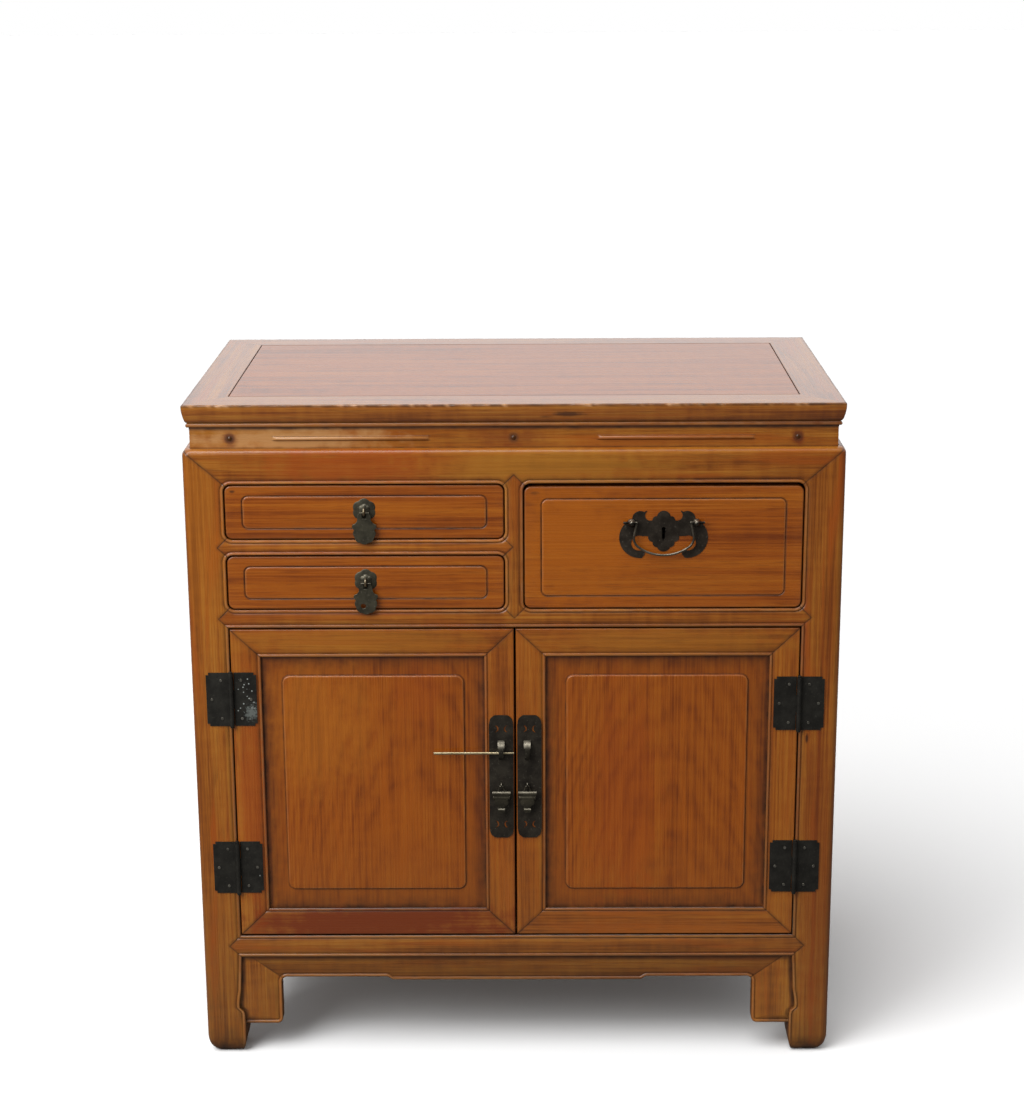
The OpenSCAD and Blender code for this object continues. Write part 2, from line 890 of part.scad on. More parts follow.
// Pegs with domed heads that go through the front waist board
module waist_pegs() {
    dome = 1.2;
    ball = (peg_r * peg_r + dome * dome) / (2 * dome);
    profile = concat(arc([0, ball - dome], [ball, ball], -90, -acos(peg_r / ball)),
        [[peg_r, waist_t], [0, waist_t]]);
    color("saddlebrown") for (x = [-peg_x, 0, peg_x])
        translate([x, waist_y, peg_z]) rotate([-90, 0, 0]) rotate_extrude() polygon(profile);
}

// Edge of the top frame as [distance inwards, depth below the top]: a fascia that
// falls inwards, a bead under it and a hollow over the waist
bead_low = 24.5;
lip = waist_inset - top_set_in;
function top_edge() = concat(
    arc([1.5, -1.5], [1.5, 1.5], 90, 180, 4),
    [[0, -4], [1.1, -11], [2.5, -17.5], [3.8, -20.2], [5.6, -21.4]],
    arc([6.4, -bead_low], [2.3, 2.5], 90, 270),
    [[lip, -bead_low - 2.5], [lip, -top_t]]);

panel_tongue_z0 = -top_panel_t;
panel_lip = 8;
panel_seam = 0.8;

// One member of the top frame seen end on, of width w, with the groove for the panel
module top_member_view(w) {
    difference() {
        polygon(concat(top_edge(), [[w, -top_t], [w, 0]]));
        translate([w - tongue, panel_tongue_z0]) square([tongue + cut, top_panel_t - panel_lip]);
    }
}

top_half_w = half_w - top_set_in;
top_y0 = front + top_set_in;
top_y1 = back - top_set_in;

module top_plan(points) {
    translate([0, 0, z_waist - cut]) linear_extrude(top_t + 2 * cut) polygon(points);
}

module top_frame_front() {
    color("peru") intersection() {
        translate([0, top_y0, total_h]) side_slab(-top_half_w, top_half_w) top_member_view(top_front_w);
        top_plan([[-top_half_w, top_y0], [top_half_w, top_y0],
            [top_half_w - top_end_w, top_y0 + top_front_w], [-top_half_w + top_end_w, top_y0 + top_front_w]]);
    }
}

module top_frame_back() {
    color("peru") intersection() {
        translate([0, top_y1, total_h]) mirror([0, 1, 0])
            side_slab(-top_half_w, top_half_w) top_member_view(top_back_w);
        top_plan([[-top_half_w, top_y1], [top_half_w, top_y1],
            [top_half_w - top_end_w, top_y1 - top_back_w], [-top_half_w + top_end_w, top_y1 - top_back_w]]);
    }
}

module top_frame_ends() {
    color("peru") both_sides() intersection() {
        translate([-top_half_w, 0, total_h]) front_slab(top_y0, top_y1) top_member_view(top_end_w);
        top_plan([[-top_half_w, top_y0], [-top_half_w + top_end_w, top_y0 + top_front_w],
            [-top_half_w + top_end_w, top_y1 - top_back_w], [-top_half_w, top_y1]]);
    }
}

module top_panel() {
    x = top_half_w - top_end_w;
    y0 = top_y0 + top_front_w;
    y1 = top_y1 - top_back_w;
    color("peru") {
        box([-x + panel_seam, y0 + panel_seam, total_h - panel_lip],
            [x - panel_seam, y1 - panel_seam, total_h]);
        box([-x - tongue, y0 - tongue, total_h - top_panel_t],
            [x + tongue, y1 + tongue, total_h - panel_lip]);
    }
}

module top_battens() {
    color("saddlebrown") for (side = [-1, 1])
        box([side * batten_x - batten_w / 2, top_y0 + top_front_w, z_waist],
            [side * batten_x + batten_w / 2, top_y1 - top_back_w, total_h - top_panel_t]);
}

// Board behind the divider post, from the middle rails up to the top rails
module drawer_partition() {
    half = partition_t / 2;
    color("burlywood") box([-half, front + rail_t, z_draw], [half, back_panel_y, z_top_rail]);
}

// What a drawer side slides along beside the left legs: a strip under it, and a guide
// between the legs that keeps it straight
module side_runner(z, y1) {
    guide_x = -inner + box_inset - guide_gap;
    box([-inner, front + rail_t, z - runner_h], [-inner + runner_w, y1, z]);
    box([-inner - guide_w, front + leg_w, z - runner_h], [guide_x, back - leg_w, z + guide_h]);
}

// The same beside the partition, to its left
module inner_runner(z, y1) {
    x = -divider_w / 2 - box_inset;
    box([x - runner_w + box_inset, front + rail_t, z - runner_h], [-partition_t / 2, y1, z]);
    box([x + guide_gap, front + rail_t, z - runner_h], [-partition_t / 2, y1, z + guide_h]);
}

module drawer_runners() {
    y_low = back - rail_t;
    color("burlywood") {
        both_sides() side_runner(z_draw, y_low);
        side_runner(z_upper, back_panel_y);
        both_sides() inner_runner(z_draw, y_low);
        box([-partition_t / 2, front + rail_t, z_draw - runner_h], [partition_t / 2, y_low, z_draw]);
        inner_runner(z_upper, back_panel_y);
    }
}

// The left door's frame members, mitred at the corners
module door_member(points) {
    difference() {
        front_slab(door_face, door_y1) polygon(points);
        door_panel_blank();
        front_slab(door_face - cut, door_face + groove_h) bead_ring(
            door_x0 + stile_w, door_z0 + door_rail_h, door_x1 - stile_w, door_z1 - door_rail_h, 0);
    }
}

module door_panel_blank() {
    y0 = door_face + door_panel_inset;
    box([door_x0 + stile_w - tongue, y0, door_z0 + door_rail_h - tongue],
        [door_x1 - stile_w + tongue, y0 + door_panel_t, door_z1 - door_rail_h + tongue]);
}

module door_stiles() {
    z0 = door_z0 + door_rail_h;
    z1 = door_z1 - door_rail_h;
    door_member([[door_x0, door_z0], [door_x0 + stile_w, z0], [door_x0 + stile_w, z1], [door_x0, door_z1]]);
    door_member([[door_x1, door_z0], [door_x1 - stile_w, z0], [door_x1 - stile_w, z1], [door_x1, door_z1]]);
}

module door_rails() {
    x0 = door_x0 + stile_w;
    x1 = door_x1 - stile_w;
    door_member([[door_x0, door_z0], [x0, door_z0 + door_rail_h], [x1, door_z0 + door_rail_h], [door_x1, door_z0]]);
    door_member([[door_x0, door_z1], [x0, door_z1 - door_rail_h], [x1, door_z1 - door_rail_h], [door_x1, door_z1]]);
}

module door_panel() {
    y0 = door_face + door_panel_inset;
    m = field_margin;
    door_panel_blank();
    front_slab(y0 - field_rise, y0) polygon(round_rect(
        door_x0 + stile_w + m, door_z0 + door_rail_h + m,
        door_x1 - stile_w - m, door_z1 - door_rail_h - m, 9));
}

module left_door_stiles() {
    color("chocolate") difference() {
        door_stiles();
        door_nail_holes(left_hinges);
        rod_y(-lock_x, pivot_z, door_face - cut, door_face + eye_shank_l, eye_wire_r + fit);
    }
}

module left_door_rails() {
    color("chocolate") door_rails();
}

module left_door_panel() {
    color("peru") door_panel();
}

module right_door_stiles() {
    color("chocolate") difference() {
        mirror([1, 0, 0]) door_stiles();
        mirror([1, 0, 0]) door_nail_holes(right_hinges);
        rod_y(lock_x - right_offset, pivot_z, door_face - cut, door_face + eye_shank_l, eye_wire_r + fit);
    }
}

module right_door_rails() {
    color("chocolate") mirror([1, 0, 0]) door_rails();
}

module right_door_panel() {
    color("peru") mirror([1, 0, 0]) door_panel();
}

// Outline of a hinge leaf from the pin outwards, with notched outer corners
module leaf_view() {
    n = leaf_notch;
    h = hinge_h / 2;
    polygon([[0, -h], [hinge_leaf_w - n, -h], [hinge_leaf_w - n, -h + n], [hinge_leaf_w, -h + n],
        [hinge_leaf_w, h - n], [hinge_leaf_w - n, h - n], [hinge_leaf_w - n, h], [0, h]]);
}

// Nails of a leaf, as [distance from the pin, height]
function nail_places() = [
    [hinge_leaf_w * 0.4, hinge_h * 0.36], [hinge_leaf_w * 0.78, 0], [hinge_leaf_w * 0.4, -hinge_h * 0.36]];

// Height bands of a hinge's knuckles: the outer two belong to the leg, the middle one to
// the door; grow makes each band taller at both ends
module knuckle_bands(outer, grow) {
    band = hinge_h / 3;
    for (z = outer ? [-band, band] : [0]) translate([0, hinge_y, z])
        cube([4 * hinge_leaf_w, 40, band + 2 * grow], center = true);
}

// One leaf of a hinge at the left leg, its back at y; side is -1 on the leg, +1 on the door
module hinge_leaf(side, y) {
    turn = knuckle_r + knuckle_gap;
    difference() {
        union() {
            front_slab(y - plate_t, y) mirror([side < 0 ? 1 : 0, 0]) leaf_view();
            intersection() {
                translate([0, hinge_y, -hinge_h / 2]) cylinder(r = knuckle_r, h = hinge_h);
                knuckle_bands(side < 0, -knuckle_gap / 2);
            }
        }
        intersection() {
            union() {
                translate([0, hinge_y, -hinge_h]) cylinder(r = turn, h = 2 * hinge_h);
                box([-turn, hinge_y, -hinge_h], [turn, y + cut, hinge_h]);
            }
            knuckle_bands(side > 0, knuckle_gap / 2);
        }
        translate([0, hinge_y, -hinge_h]) cylinder(r = hinge_pin_r + fit, h = 2 * hinge_h);
        for (p = nail_places()) rod_y(side * p[0], p[1], y - 2 * cut, y + cut, nail_r + fit);
    }
}

module hinge_nails_at(side, y) {
    for (p = nail_places()) {
        rod_y(side * p[0], p[1], y - plate_t, y + nail_l, nail_r);
        rod_y(side * p[0], p[1], y - plate_t - nail_head_h, y - plate_t, nail_head_r);
    }
}

module hinge_nail_holes(heights) {
    for (z = heights) translate([-hinge_x, 0, z])
        for (p = nail_places()) rod_y(-p[0], p[1], front - cut, front + nail_l, nail_r + fit);
}

module door_nail_holes(heights) {
    for (z = heights) translate([-hinge_x, 0, z])
        for (p = nail_places()) rod_y(p[0], p[1], door_face - cut, door_face + nail_l, nail_r + fit);
}

module post_hinge_leaves() {
    color("darkslategray") {
        for (z = left_hinges) translate([-hinge_x, 0, z]) hinge_leaf(-1, front);
        mirror([1, 0, 0]) for (z = right_hinges) translate([-hinge_x, 0, z]) hinge_leaf(-1, front);
    }
}

module post_hinge_nails() {
    color("dimgray") {
        for (z = left_hinges) translate([-hinge_x, 0, z]) hinge_nails_at(-1, front);
        mirror([1, 0, 0]) for (z = right_hinges) translate([-hinge_x, 0, z]) hinge_nails_at(-1, front);
    }
}

// Pins with a small head at each end, so that they can't drop out
module hinge_pin(z) {
    head_h = 1.4;
    translate([-hinge_x, hinge_y, z]) {
        translate([0, 0, -hinge_h / 2 - head_h]) cylinder(r = hinge_pin_r, h = hinge_h + 2 * head_h);
        for (side = [0, 1]) mirror([0, 0, side]) translate([0, 0, hinge_h / 2 + 0.2])
            cylinder(r = knuckle_r - 0.6, h = head_h);
    }
}

module hinge_pins() {
    color("dimgray") {
        for (z = left_hinges) hinge_pin(z);
        mirror([1, 0, 0]) for (z = right_hinges) hinge_pin(z);
    }
}

module left_door_hinge_leaves() {
    color("darkslategray") for (z = left_hinges) translate([-hinge_x, 0, z]) hinge_leaf(1, door_face);
}

module left_door_hinge_nails() {
    color("dimgray") for (z = left_hinges) translate([-hinge_x, 0, z]) hinge_nails_at(1, door_face);
}

module right_door_hinge_leaves() {
    color("darkslategray") mirror([1, 0, 0])
        for (z = right_hinges) translate([-hinge_x, 0, z]) hinge_leaf(1, door_face);
}

module right_door_hinge_nails() {
    color("dimgray") mirror([1, 0, 0])
        for (z = right_hinges) translate([-hinge_x, 0, z]) hinge_nails_at(1, door_face);
}

// Half of a lock plate's outline, its upper end: a nick, a sloping shoulder and a flat tip
function lock_end() =
    let (w = lock_w / 2, h = lock_h / 2) concat(
        [[w, h - 11], [w - 0.8, h - 10.2], [w - 0.4, h - 9]],
        arc([w - 7, h - 7.4], [6, 6], 10, 62, 6),
        [[w - 5.6, h - 0.6], [w - 7.5, h]]);

function lock_outline() =
    let (e = lock_end(), n = len(lock_end()) - 1) concat(
        e,
        [for (i = [n : -1 : 0]) [-e[i][0], e[i][1]]],
        [for (i = [0 : n]) [-e[i][0], -e[i][1]]],
        [for (i = [n : -1 : 0]) [e[i][0], -e[i][1]]]);

// A crescent pierced through a plate, its horns pointing to the side
module crescent(side) {
    r = 4.6;
    intersection() {
        difference() {
            circle(r = r);
            translate([-side * 1.3, 0]) circle(r = r - 0.5);
        }
        translate([side * r, 0]) square([2 * r - 1, 3 * r], center = true);
    }
}

module lock_plate(x, ring_x) {
    across = 7.6;
    along = lock_h / 2 - 17;
    difference() {
        translate([x, 0, lock_z]) front_slab(lock_face, door_face) difference() {
            polygon(lock_outline());
            for (end = [-1, 1], side = [-1, 1])
                translate([side * across, end * along]) crescent(-side);
        }
        rod_y(ring_x, pivot_z, lock_face - cut, door_face + cut, eye_wire_r + fit);
    }
}

// The staple that the pin passes through: an arched strap on the plate, open across
module pin_staple(x) {
    y = lock_face + staple_r - staple_out;
    step_z = 5;
    narrow = staple_w - 2.4;
    hole_deep = 2 * staple_hole_r - 0.2;
    corner = 2.6;
    translate([x, 0, staple_z]) difference() {
        intersection() {
            rod_x(y, 0, -staple_w / 2, staple_w / 2, staple_r);
            union() {
                box([-staple_w / 2, lock_face - 2 * staple_r, step_z], [staple_w / 2, lock_face, 2 * staple_r]);
                box([-narrow / 2, lock_face - 2 * staple_r, -2 * staple_r], [narrow / 2, lock_face, step_z]);
            }
        }
        side_slab(-staple_w, staple_w) polygon([
            [lock_face + cut, -staple_hole_r], [lock_face - hole_deep + corner, -staple_hole_r],
            [lock_face - hole_deep, -staple_hole_r + corner], [lock_face - hole_deep, staple_hole_r - corner],
            [lock_face - hole_deep + corner, staple_hole_r], [lock_face + cut, staple_hole_r]]);
    }
}

// The ring that a door pendant hangs from, with its shank through the plate
eye_shank_l = 10;
module pendant_eye(x) {
    translate([x, lock_face - eye_depth, pivot_z]) rotate([0, 90, 0])
        rotate_extrude() translate([eye_r, 0]) circle(r = eye_wire_r, $fn = 24);
    rod_y(x, pivot_z, lock_face - eye_depth + eye_r, door_face + eye_shank_l, eye_wire_r);
}

// Vase-shaped pendant: a wire loop, two ribs across a swelling body and a small foot
module door_pendant(x) {
    zb = pivot_z - crossbar_drop;
    y = lock_face - eye_depth;
    top = -9;
    w = pendant_w / 2;
    leg_x = 4.6;
    leg_run = leg_x - 1.9;
    leg_fall = -top - 0.6;
    leg_len = sqrt(leg_run * leg_run + leg_fall * leg_fall);
    translate([x, y, zb]) {
        rod_x(0, 0, -1.9, 1.9, crossbar_r);
        for (side = [-1, 1]) translate([side * 1.9, 0, 0]) {
            sphere(r = crossbar_r);
            rotate([0, side * (180 - atan(leg_run / leg_fall)), 0]) cylinder(r = crossbar_r, h = leg_len);
        }
        front_slab(-pendant_t / 2, pendant_t / 2) polygon(concat(
            [[w - 1.2, top - 1], [w - 1.4, top - 5.2], [w - 3.2, top - 6]],
            arc([w - 7.2, top - 10], [4.9, 4.6], 45, -60, 6),
            [[3.6, top - 16.4], [3.2, top - 17.6], [4.6, top - 18.4], [4.6, top - 20.6], [2.6, top - 23.4],
             [-2.6, top - 23.4], [-4.6, top - 20.6], [-4.6, top - 18.4], [-3.2, top - 17.6], [-3.6, top - 16.4]],
            arc([-w + 7.2, top - 10], [4.9, 4.6], 240, 135, 6),
            [[-w + 3.2, top - 6], [-w + 1.4, top - 5.2], [-w + 1.2, top - 1]]));
        rod_x(0, top, -w, w, pendant_t / 2 + 0.35);
        rod_x(0, top - 5, -w + 1, w - 1, pendant_t / 2 + 0.25);
    }
}

module left_lock_plate() {
    color("darkslategray") lock_plate(-lock_x, -lock_x);
}

module left_lock_staples() {
    color("gray") {
        pin_staple(-lock_x);
        pendant_eye(-lock_x);
    }
}

module left_door_pendant() {
    color("dimgray") door_pendant(-lock_x);
}

module right_lock_plate() {
    color("darkslategray") lock_plate(lock_x, lock_x - right_offset);
}

module right_lock_staples() {
    color("gray") {
        pin_staple(lock_x - right_offset);
        pendant_eye(lock_x - right_offset);
    }
}

module right_door_pendant() {
    color("dimgray") door_pendant(lock_x - right_offset);
}

// The lock pin, drawn back so that its tip clears the meeting of the doors
module lock_pin() {
    tip_l = 16;
    tip_thin = 0.5;
    x1 = door_x1 - stop_gap;
    x0 = x1 - lock_pin_l;
    y = lock_face - staple_hole_r + tip_thin;
    z = staple_z - staple_hole_r + lock_pin_r + 2 * hang_gap;
    color("darkkhaki") {
        rod_x(y, z, x0, x1 - tip_l, lock_pin_r);
        rod_x(y, z, x1 - tip_l, x1, lock_pin_r - tip_thin);
    }
}

// A drawer front that fills opening o, with a gap over it and a raised field
module drawer_front(o, top_gap, margin) {
    x0 = o[0] + drawer_side_gap;
    x1 = o[1] - drawer_side_gap;
    z0 = o[2] + drawer_low_gap;
    z1 = o[3] - top_gap;
    r = open_round - drawer_side_gap;
    difference() {
        front_slab(drawer_face, drawer_face + drawer_front_t) polygon(round_rect(x0, z0, x1, z1, r));
        front_slab(drawer_face - cut, drawer_face + drawer_field_rise) difference() {
            polygon(round_rect(x0 + drawer_field_side, z0 + margin, x1 - drawer_field_side, z1 - margin, 7));
            polygon(round_rect(x0 + drawer_field_side + 1, z0 + margin + 1,
                x1 - drawer_field_side - 1, z1 - margin - 1, 6));
        }
    }
}

// Sides, back and bottom of the drawer in opening o, four separate boards
module drawer_box(o) {
    y0 = drawer_face + drawer_front_t;
    x0 = o[0] + box_inset;
    x1 = o[1] - box_inset;
    z0 = o[2] + run_gap;
    z1 = o[3] - drawer_side_drop;
    t = drawer_side_t;
    bottom = z0 + drawer_bottom_z;
    color("burlywood") {
        box([x0, y0, z0], [x0 + t, drawer_end, z1]);
        box([x1 - t, y0, z0], [x1, drawer_end, z1]);
        box([x0 + t + fit, drawer_end - t, z0], [x1 - t - fit, drawer_end, z1]);
        box([x0 + t + fit, y0, bottom], [x1 - t - fit, drawer_end - t - fit, bottom + drawer_bottom_t]);
    }
}

pull_shank_l = 12;
function pull_ring_z(o) = (o[2] + o[3]) / 2 + pull_rise + bar_drop;

module pull_shank_hole(o) {
    rod_y(pull_x, pull_ring_z(o), drawer_face - cut, drawer_face + pull_shank_l, ring_wire_r + fit);
}

// Flower-shaped plate of a small pull and, through it, the ring that carries the pendant
module pull_plate(o) {
    z = pull_ring_z(o);
    y = drawer_face - plate_t;
    color("darkslategray") difference() {
        translate([pull_x, 0, z + 2]) front_slab(y, drawer_face) {
            circle(r = 8.6);
            translate([0, 5.4]) circle(r = 5);
            for (side = [-1, 1]) {
                translate([side * 8, 2.8]) circle(r = 6.2);
                translate([side * 4.4, -5]) circle(r = 5.4);
            }
        }
        rod_y(pull_x, z, y - cut, drawer_face + cut, ring_wire_r + fit);
    }
    color("gray") {
        translate([pull_x, y - ring_depth, z]) rotate([0, 90, 0])
            rotate_extrude() translate([ring_r, 0]) circle(r = ring_wire_r, $fn = 24);
        rod_y(pull_x, z, y - ring_depth + ring_r, drawer_face + pull_shank_l, ring_wire_r);
    }
}

// Pendant of a small pull, hung on its rolled upper edge; hole_r is a pierced hole, or 0
module pull_pendant(o, hole_r) {
    z = pull_ring_z(o) - bar_drop;
    y = drawer_face - plate_t - ring_depth;
    slot_half = ring_wire_r + 1;
    slot_low = -2 * ring_wire_r - pull_bar_r - bar_drop - 1.4;
    color("darkslategray") translate([pull_x, y, z]) {
        front_slab(-pull_t / 2, pull_t / 2) difference() {
            polygon([[-5.6, 0], [-7.6, -4], [-7.6, -9], [-10, -12], [-14.4, -14], [-14.6, -16.2],
                [-12.4, -19], [-13, -24], [-12.4, -30.5], [-9, -35], [-4.6, -37.4],
                [4.6, -37.4], [9, -35], [12.4, -30.5], [13, -24], [12.4, -19],
                [14.6, -16.2], [14.4, -14], [10, -12], [7.6, -9], [7.6, -4], [5.6, 0]]);
            polygon([[-slot_half, cut], [slot_half, cut], [slot_half, slot_low], [-slot_half, slot_low]]);
            if (hole_r > 0) translate([-3, -27]) circle(r = hole_r);
        }
        rod_x(0, 0, -5.6, 5.6, pull_bar_r);
    }
}

module upper_drawer_front() {
    color("chocolate") difference() {
        drawer_front(upper_open, small_top_gap, small_field_margin);
        pull_shank_hole(upper_open);
    }
}

module upper_drawer_box() {
    drawer_box(upper_open);
}

module upper_pull_plate() {
    pull_plate(upper_open);
}

module upper_pull_pendant() {
    pull_pendant(upper_open, 0);
}

module lower_drawer_front() {
    color("chocolate") difference() {
        drawer_front(lower_open, small_top_gap, small_field_margin);
        pull_shank_hole(lower_open);
    }
}

module lower_drawer_box() {
    drawer_box(lower_open);
}

module lower_pull_plate() {
    pull_plate(lower_open);
}

module lower_pull_pendant() {
    pull_pendant(lower_open, 3);
}

post_shank_l = 12;

module keyhole_view() {
    translate([0, 2]) circle(r = 2.3);
    translate([-1.4, -10.2]) square([2.8, 12]);
}

module large_drawer_front() {
    color("chocolate") difference() {
        drawer_front(large_open, large_top_gap, large_field_margin);
        translate([handle_x, 0, handle_z]) front_slab(drawer_face - cut, drawer_face + drawer_front_t + cut)
            keyhole_view();
        for (side = [-1, 1]) rod_y(handle_x + side * post_x, handle_z + post_z,
            drawer_face - cut, drawer_face + post_shank_l, post_r - 1 + fit);
    }
}

module large_drawer_box() {
    drawer_box(large_open);
}

// Half of the bat-shaped plate: the body's band, a horn with its tip, and a wing that
// curls in at its lower end
module bat_half() {
    wing = [26.7, -8.4];
    difference() {
        union() {
            translate([0, -6.5]) square([36, 20]);
            polygon(concat([[36.3, 8]], arc([27, 14], [9.3, 9.3], 0, 118), [[19.6, 23.6], [21, 8]]));
            translate(wing) circle(r = 24.4);
        }
        translate([15.4, 18]) circle(r = 6.2);
        translate([28.4, -14.8]) circle(r = 9);
        translate([-cut, -23.6]) square([29.4, 17.1]);
        translate([-cut, -40]) square([22.5, 33.5]);
        polygon([[21, -27.5], [21, -34], [26, -34]]);
    }
}

// The whole plate, drawn for posts at bat_post_x and enlarged to suit the real ones
bat_post_x = 37.3;
module bat_view() {
    scale(post_x / bat_post_x) {
        bat_half();
        mirror([1, 0]) bat_half();
        translate([0, 15.6]) circle(r = 7.9);
        translate([0, -17.2]) circle(r = 7.8);
        translate([-9, -15]) square([18, 12]);
        for (side = [-1, 1]) {
            translate([side * 8.4, 12.4]) circle(r = 4.6);
            translate([side * 7.4, -14.6]) circle(r = 5.2);
            translate([side * 12.4, -8]) circle(r = 5.4);
        }
    }
}

module handle_plate() {
    color("darkslategray") difference() {
        translate([handle_x, 0, handle_z]) front_slab(drawer_face - plate_t, drawer_face) difference() {
            bat_view();
            keyhole_view();
        }
        for (side = [-1, 1]) rod_y(handle_x + side * post_x, handle_z + post_z,
            drawer_face - 2 * plate_t, drawer_face + cut, post_r - 1 + fit);
    }
}

// Posts with round heads, bored across for the wire
module handle_posts() {
    y = drawer_face - plate_t;
    color("gray") for (side = [-1, 1]) translate([handle_x + side * post_x, 0, handle_z + post_z]) difference() {
        union() {
            rod_y(0, 0, y - post_out, y, post_r);
            rod_y(0, 0, y - cut, drawer_face + post_shank_l, post_r - 1);
            translate([0, y - post_out, 0]) sphere(r = post_head_r);
        }
        rod_x(y - bail_depth, 0, -2 * post_r, 2 * post_r, bail_r + fit);
    }
}

// A round bar of radius bar_r bent about c in the front view, from angle a0 to a1
module bent_bar(c, r, a0, a1, bar_r) {
    translate([c[0], 0, c[1]]) rotate([90, 0, 0]) rotate([0, 0, a0])
        rotate_extrude(angle = a1 - a0) translate([r, 0]) circle(r = bar_r, $fn = 24);
}

// Wire handle: straight through the posts, then down and round in a bow made of a wide
// arc between two tight ones, where the wire is a little thicker
module handle_bail() {
    low = bail_drop - bail_r;
    side_x = post_x - 2.8;
    tight = 14;
    cx = side_x - tight;
    cz = -18;
    wide = (cx * cx + (low + cz) * (low + cz) - tight * tight) / (2 * (low + cz - tight));
    turn = atan2(wide - low - cz, cx);
    lean = 12;
    lap = 1.5;
    bend_r = bail_r + 0.06;
    top_x = cx + tight * cos(lean) + (cz + tight * sin(lean)) * tan(lean);
    rise = -(cz + tight * sin(lean)) / cos(lean);
    color("gray") translate([handle_x, drawer_face - plate_t - bail_depth, handle_z + post_z]) {
        bent_bar([0, wide - low], wide, turn - 180, -turn, bail_r);
        both_sides() {
            bent_bar([cx, cz], tight, -turn - lap, lean + lap, bend_r);
            translate([top_x, 0, 0]) rotate([0, 180 - lean, 0]) cylinder(r = bail_r, h = rise);
            translate([top_x, 0, 0]) sphere(r = bend_r);
            rod_x(0, 0, top_x, bail_tip, bail_r);
        }
    }
}

leg_front_left();
leg_front_right();
legs_back();
top_rails_long();
top_rails_end();
divider_post();
small_drawer_rail();
middle_rail_front();
middle_rails_rear();
bottom_rail_front();
bottom_rails_rear();
apron_front();
side_aprons();
spandrels();
waist_boards_long();
waist_boards_end();
waist_pegs();
top_frame_front();
top_frame_back();
top_frame_ends();
top_panel();
top_battens();
side_panels();
back_panels();
cupboard_floor();
drawer_runners();
drawer_partition();
post_hinge_leaves();
hinge_pins();
post_hinge_nails();
left_door_stiles();
left_door_rails();
left_door_panel();
left_door_hinge_leaves();
left_door_hinge_nails();
left_lock_plate();
left_lock_staples();
left_door_pendant();
lock_pin();
right_door_stiles();
right_door_rails();
right_door_panel();
right_door_hinge_leaves();
right_door_hinge_nails();
right_lock_plate();
right_lock_staples();
right_door_pendant();
upper_drawer_front();
upper_drawer_box();
upper_pull_plate();
upper_pull_pendant();
lower_drawer_front();
lower_drawer_box();
lower_pull_plate();
lower_pull_pendant();
large_drawer_front();
large_drawer_box();
handle_plate();
handle_posts();
handle_bail();
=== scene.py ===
"""Looks of a waisted side cabinet in polished hardwood: three drawers over a pair of doors.

Shapes are worked out in millimetres, in the frame's own axes: the front faces -Y, +X is to
the right and the floor is at z = 0. A mesh is turned into metres when its piece is made.
"""
import json
import math
from collections import namedtuple
from functools import cached_property

import bmesh
import bpy
import numpy as np
from mathutils import Matrix, Vector
from mathutils.geometry import delaunay_2d_cdt

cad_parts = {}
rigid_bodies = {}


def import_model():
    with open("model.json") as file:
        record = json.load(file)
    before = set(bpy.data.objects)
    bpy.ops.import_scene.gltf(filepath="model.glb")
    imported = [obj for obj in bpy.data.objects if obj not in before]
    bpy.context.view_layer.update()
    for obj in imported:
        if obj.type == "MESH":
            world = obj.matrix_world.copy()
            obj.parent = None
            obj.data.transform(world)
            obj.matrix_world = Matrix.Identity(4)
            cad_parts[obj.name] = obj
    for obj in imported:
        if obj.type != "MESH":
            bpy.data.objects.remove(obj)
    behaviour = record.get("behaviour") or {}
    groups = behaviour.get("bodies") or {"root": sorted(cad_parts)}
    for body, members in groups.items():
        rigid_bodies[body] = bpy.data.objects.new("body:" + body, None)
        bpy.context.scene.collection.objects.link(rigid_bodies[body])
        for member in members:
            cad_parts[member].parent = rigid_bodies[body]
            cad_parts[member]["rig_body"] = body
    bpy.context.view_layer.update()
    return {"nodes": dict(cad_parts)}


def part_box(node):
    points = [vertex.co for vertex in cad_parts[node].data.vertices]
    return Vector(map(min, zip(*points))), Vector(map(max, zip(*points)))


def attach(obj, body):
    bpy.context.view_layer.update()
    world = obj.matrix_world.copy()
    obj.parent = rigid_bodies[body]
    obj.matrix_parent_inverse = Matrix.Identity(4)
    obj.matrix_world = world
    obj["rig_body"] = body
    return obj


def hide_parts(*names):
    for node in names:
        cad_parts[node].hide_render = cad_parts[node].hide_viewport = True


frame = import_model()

MM = 0.001
PHOTO_W = 1024

# Sizes of the cabinet that the frame was built with
body_w, body_d = 760.0, 436.0
leg_w, rail_t, leg_round, top_round = 46.0, 30.0, 8.0, 7.0
z_rail, z_door, z_mid, z_draw = 129, 157, 547, 569
z_top_rail, z_body, z_waist, total_h = 719.5, 760, 783, 812
small_open_h, divider_w, open_round = 66.25, 21.0, 9.0
z_small, z_upper = z_draw + small_open_h, z_top_rail - small_open_h
swell_top, swell_low = 68.0, 49.0
leg_heights = [49, 53, 56, 58.5, 61, 66, 73, 85, 129]
leg_narrows = [-1.5, -1.2, 0, 3, 4.8, 4.9, 4.2, 2.3, 0]
foot_round_h, foot_round_w = 24.0, 13.0
apron_h, apron_t, apron_inset, spandrel_w, spandrel_clear = 29.0, 16.0, 5.0, 47.0, 38.0
apron_drop_half, apron_drop, apron_step, apron_r, mitre_in = 150.0, 4.2, 9.0, 7.0, 8.0
waist_inset, waist_t, strip_l, strip_x, strip_r, peg_x = 9.0, 14.0, 180.0, 186.0, 2.3, 325
top_t, top_set_in, top_front_w, top_back_w, top_end_w = 29.0, 1.5, 50.0, 44.0, 47.5
top_panel_t, panel_seam = 13.0, 0.8
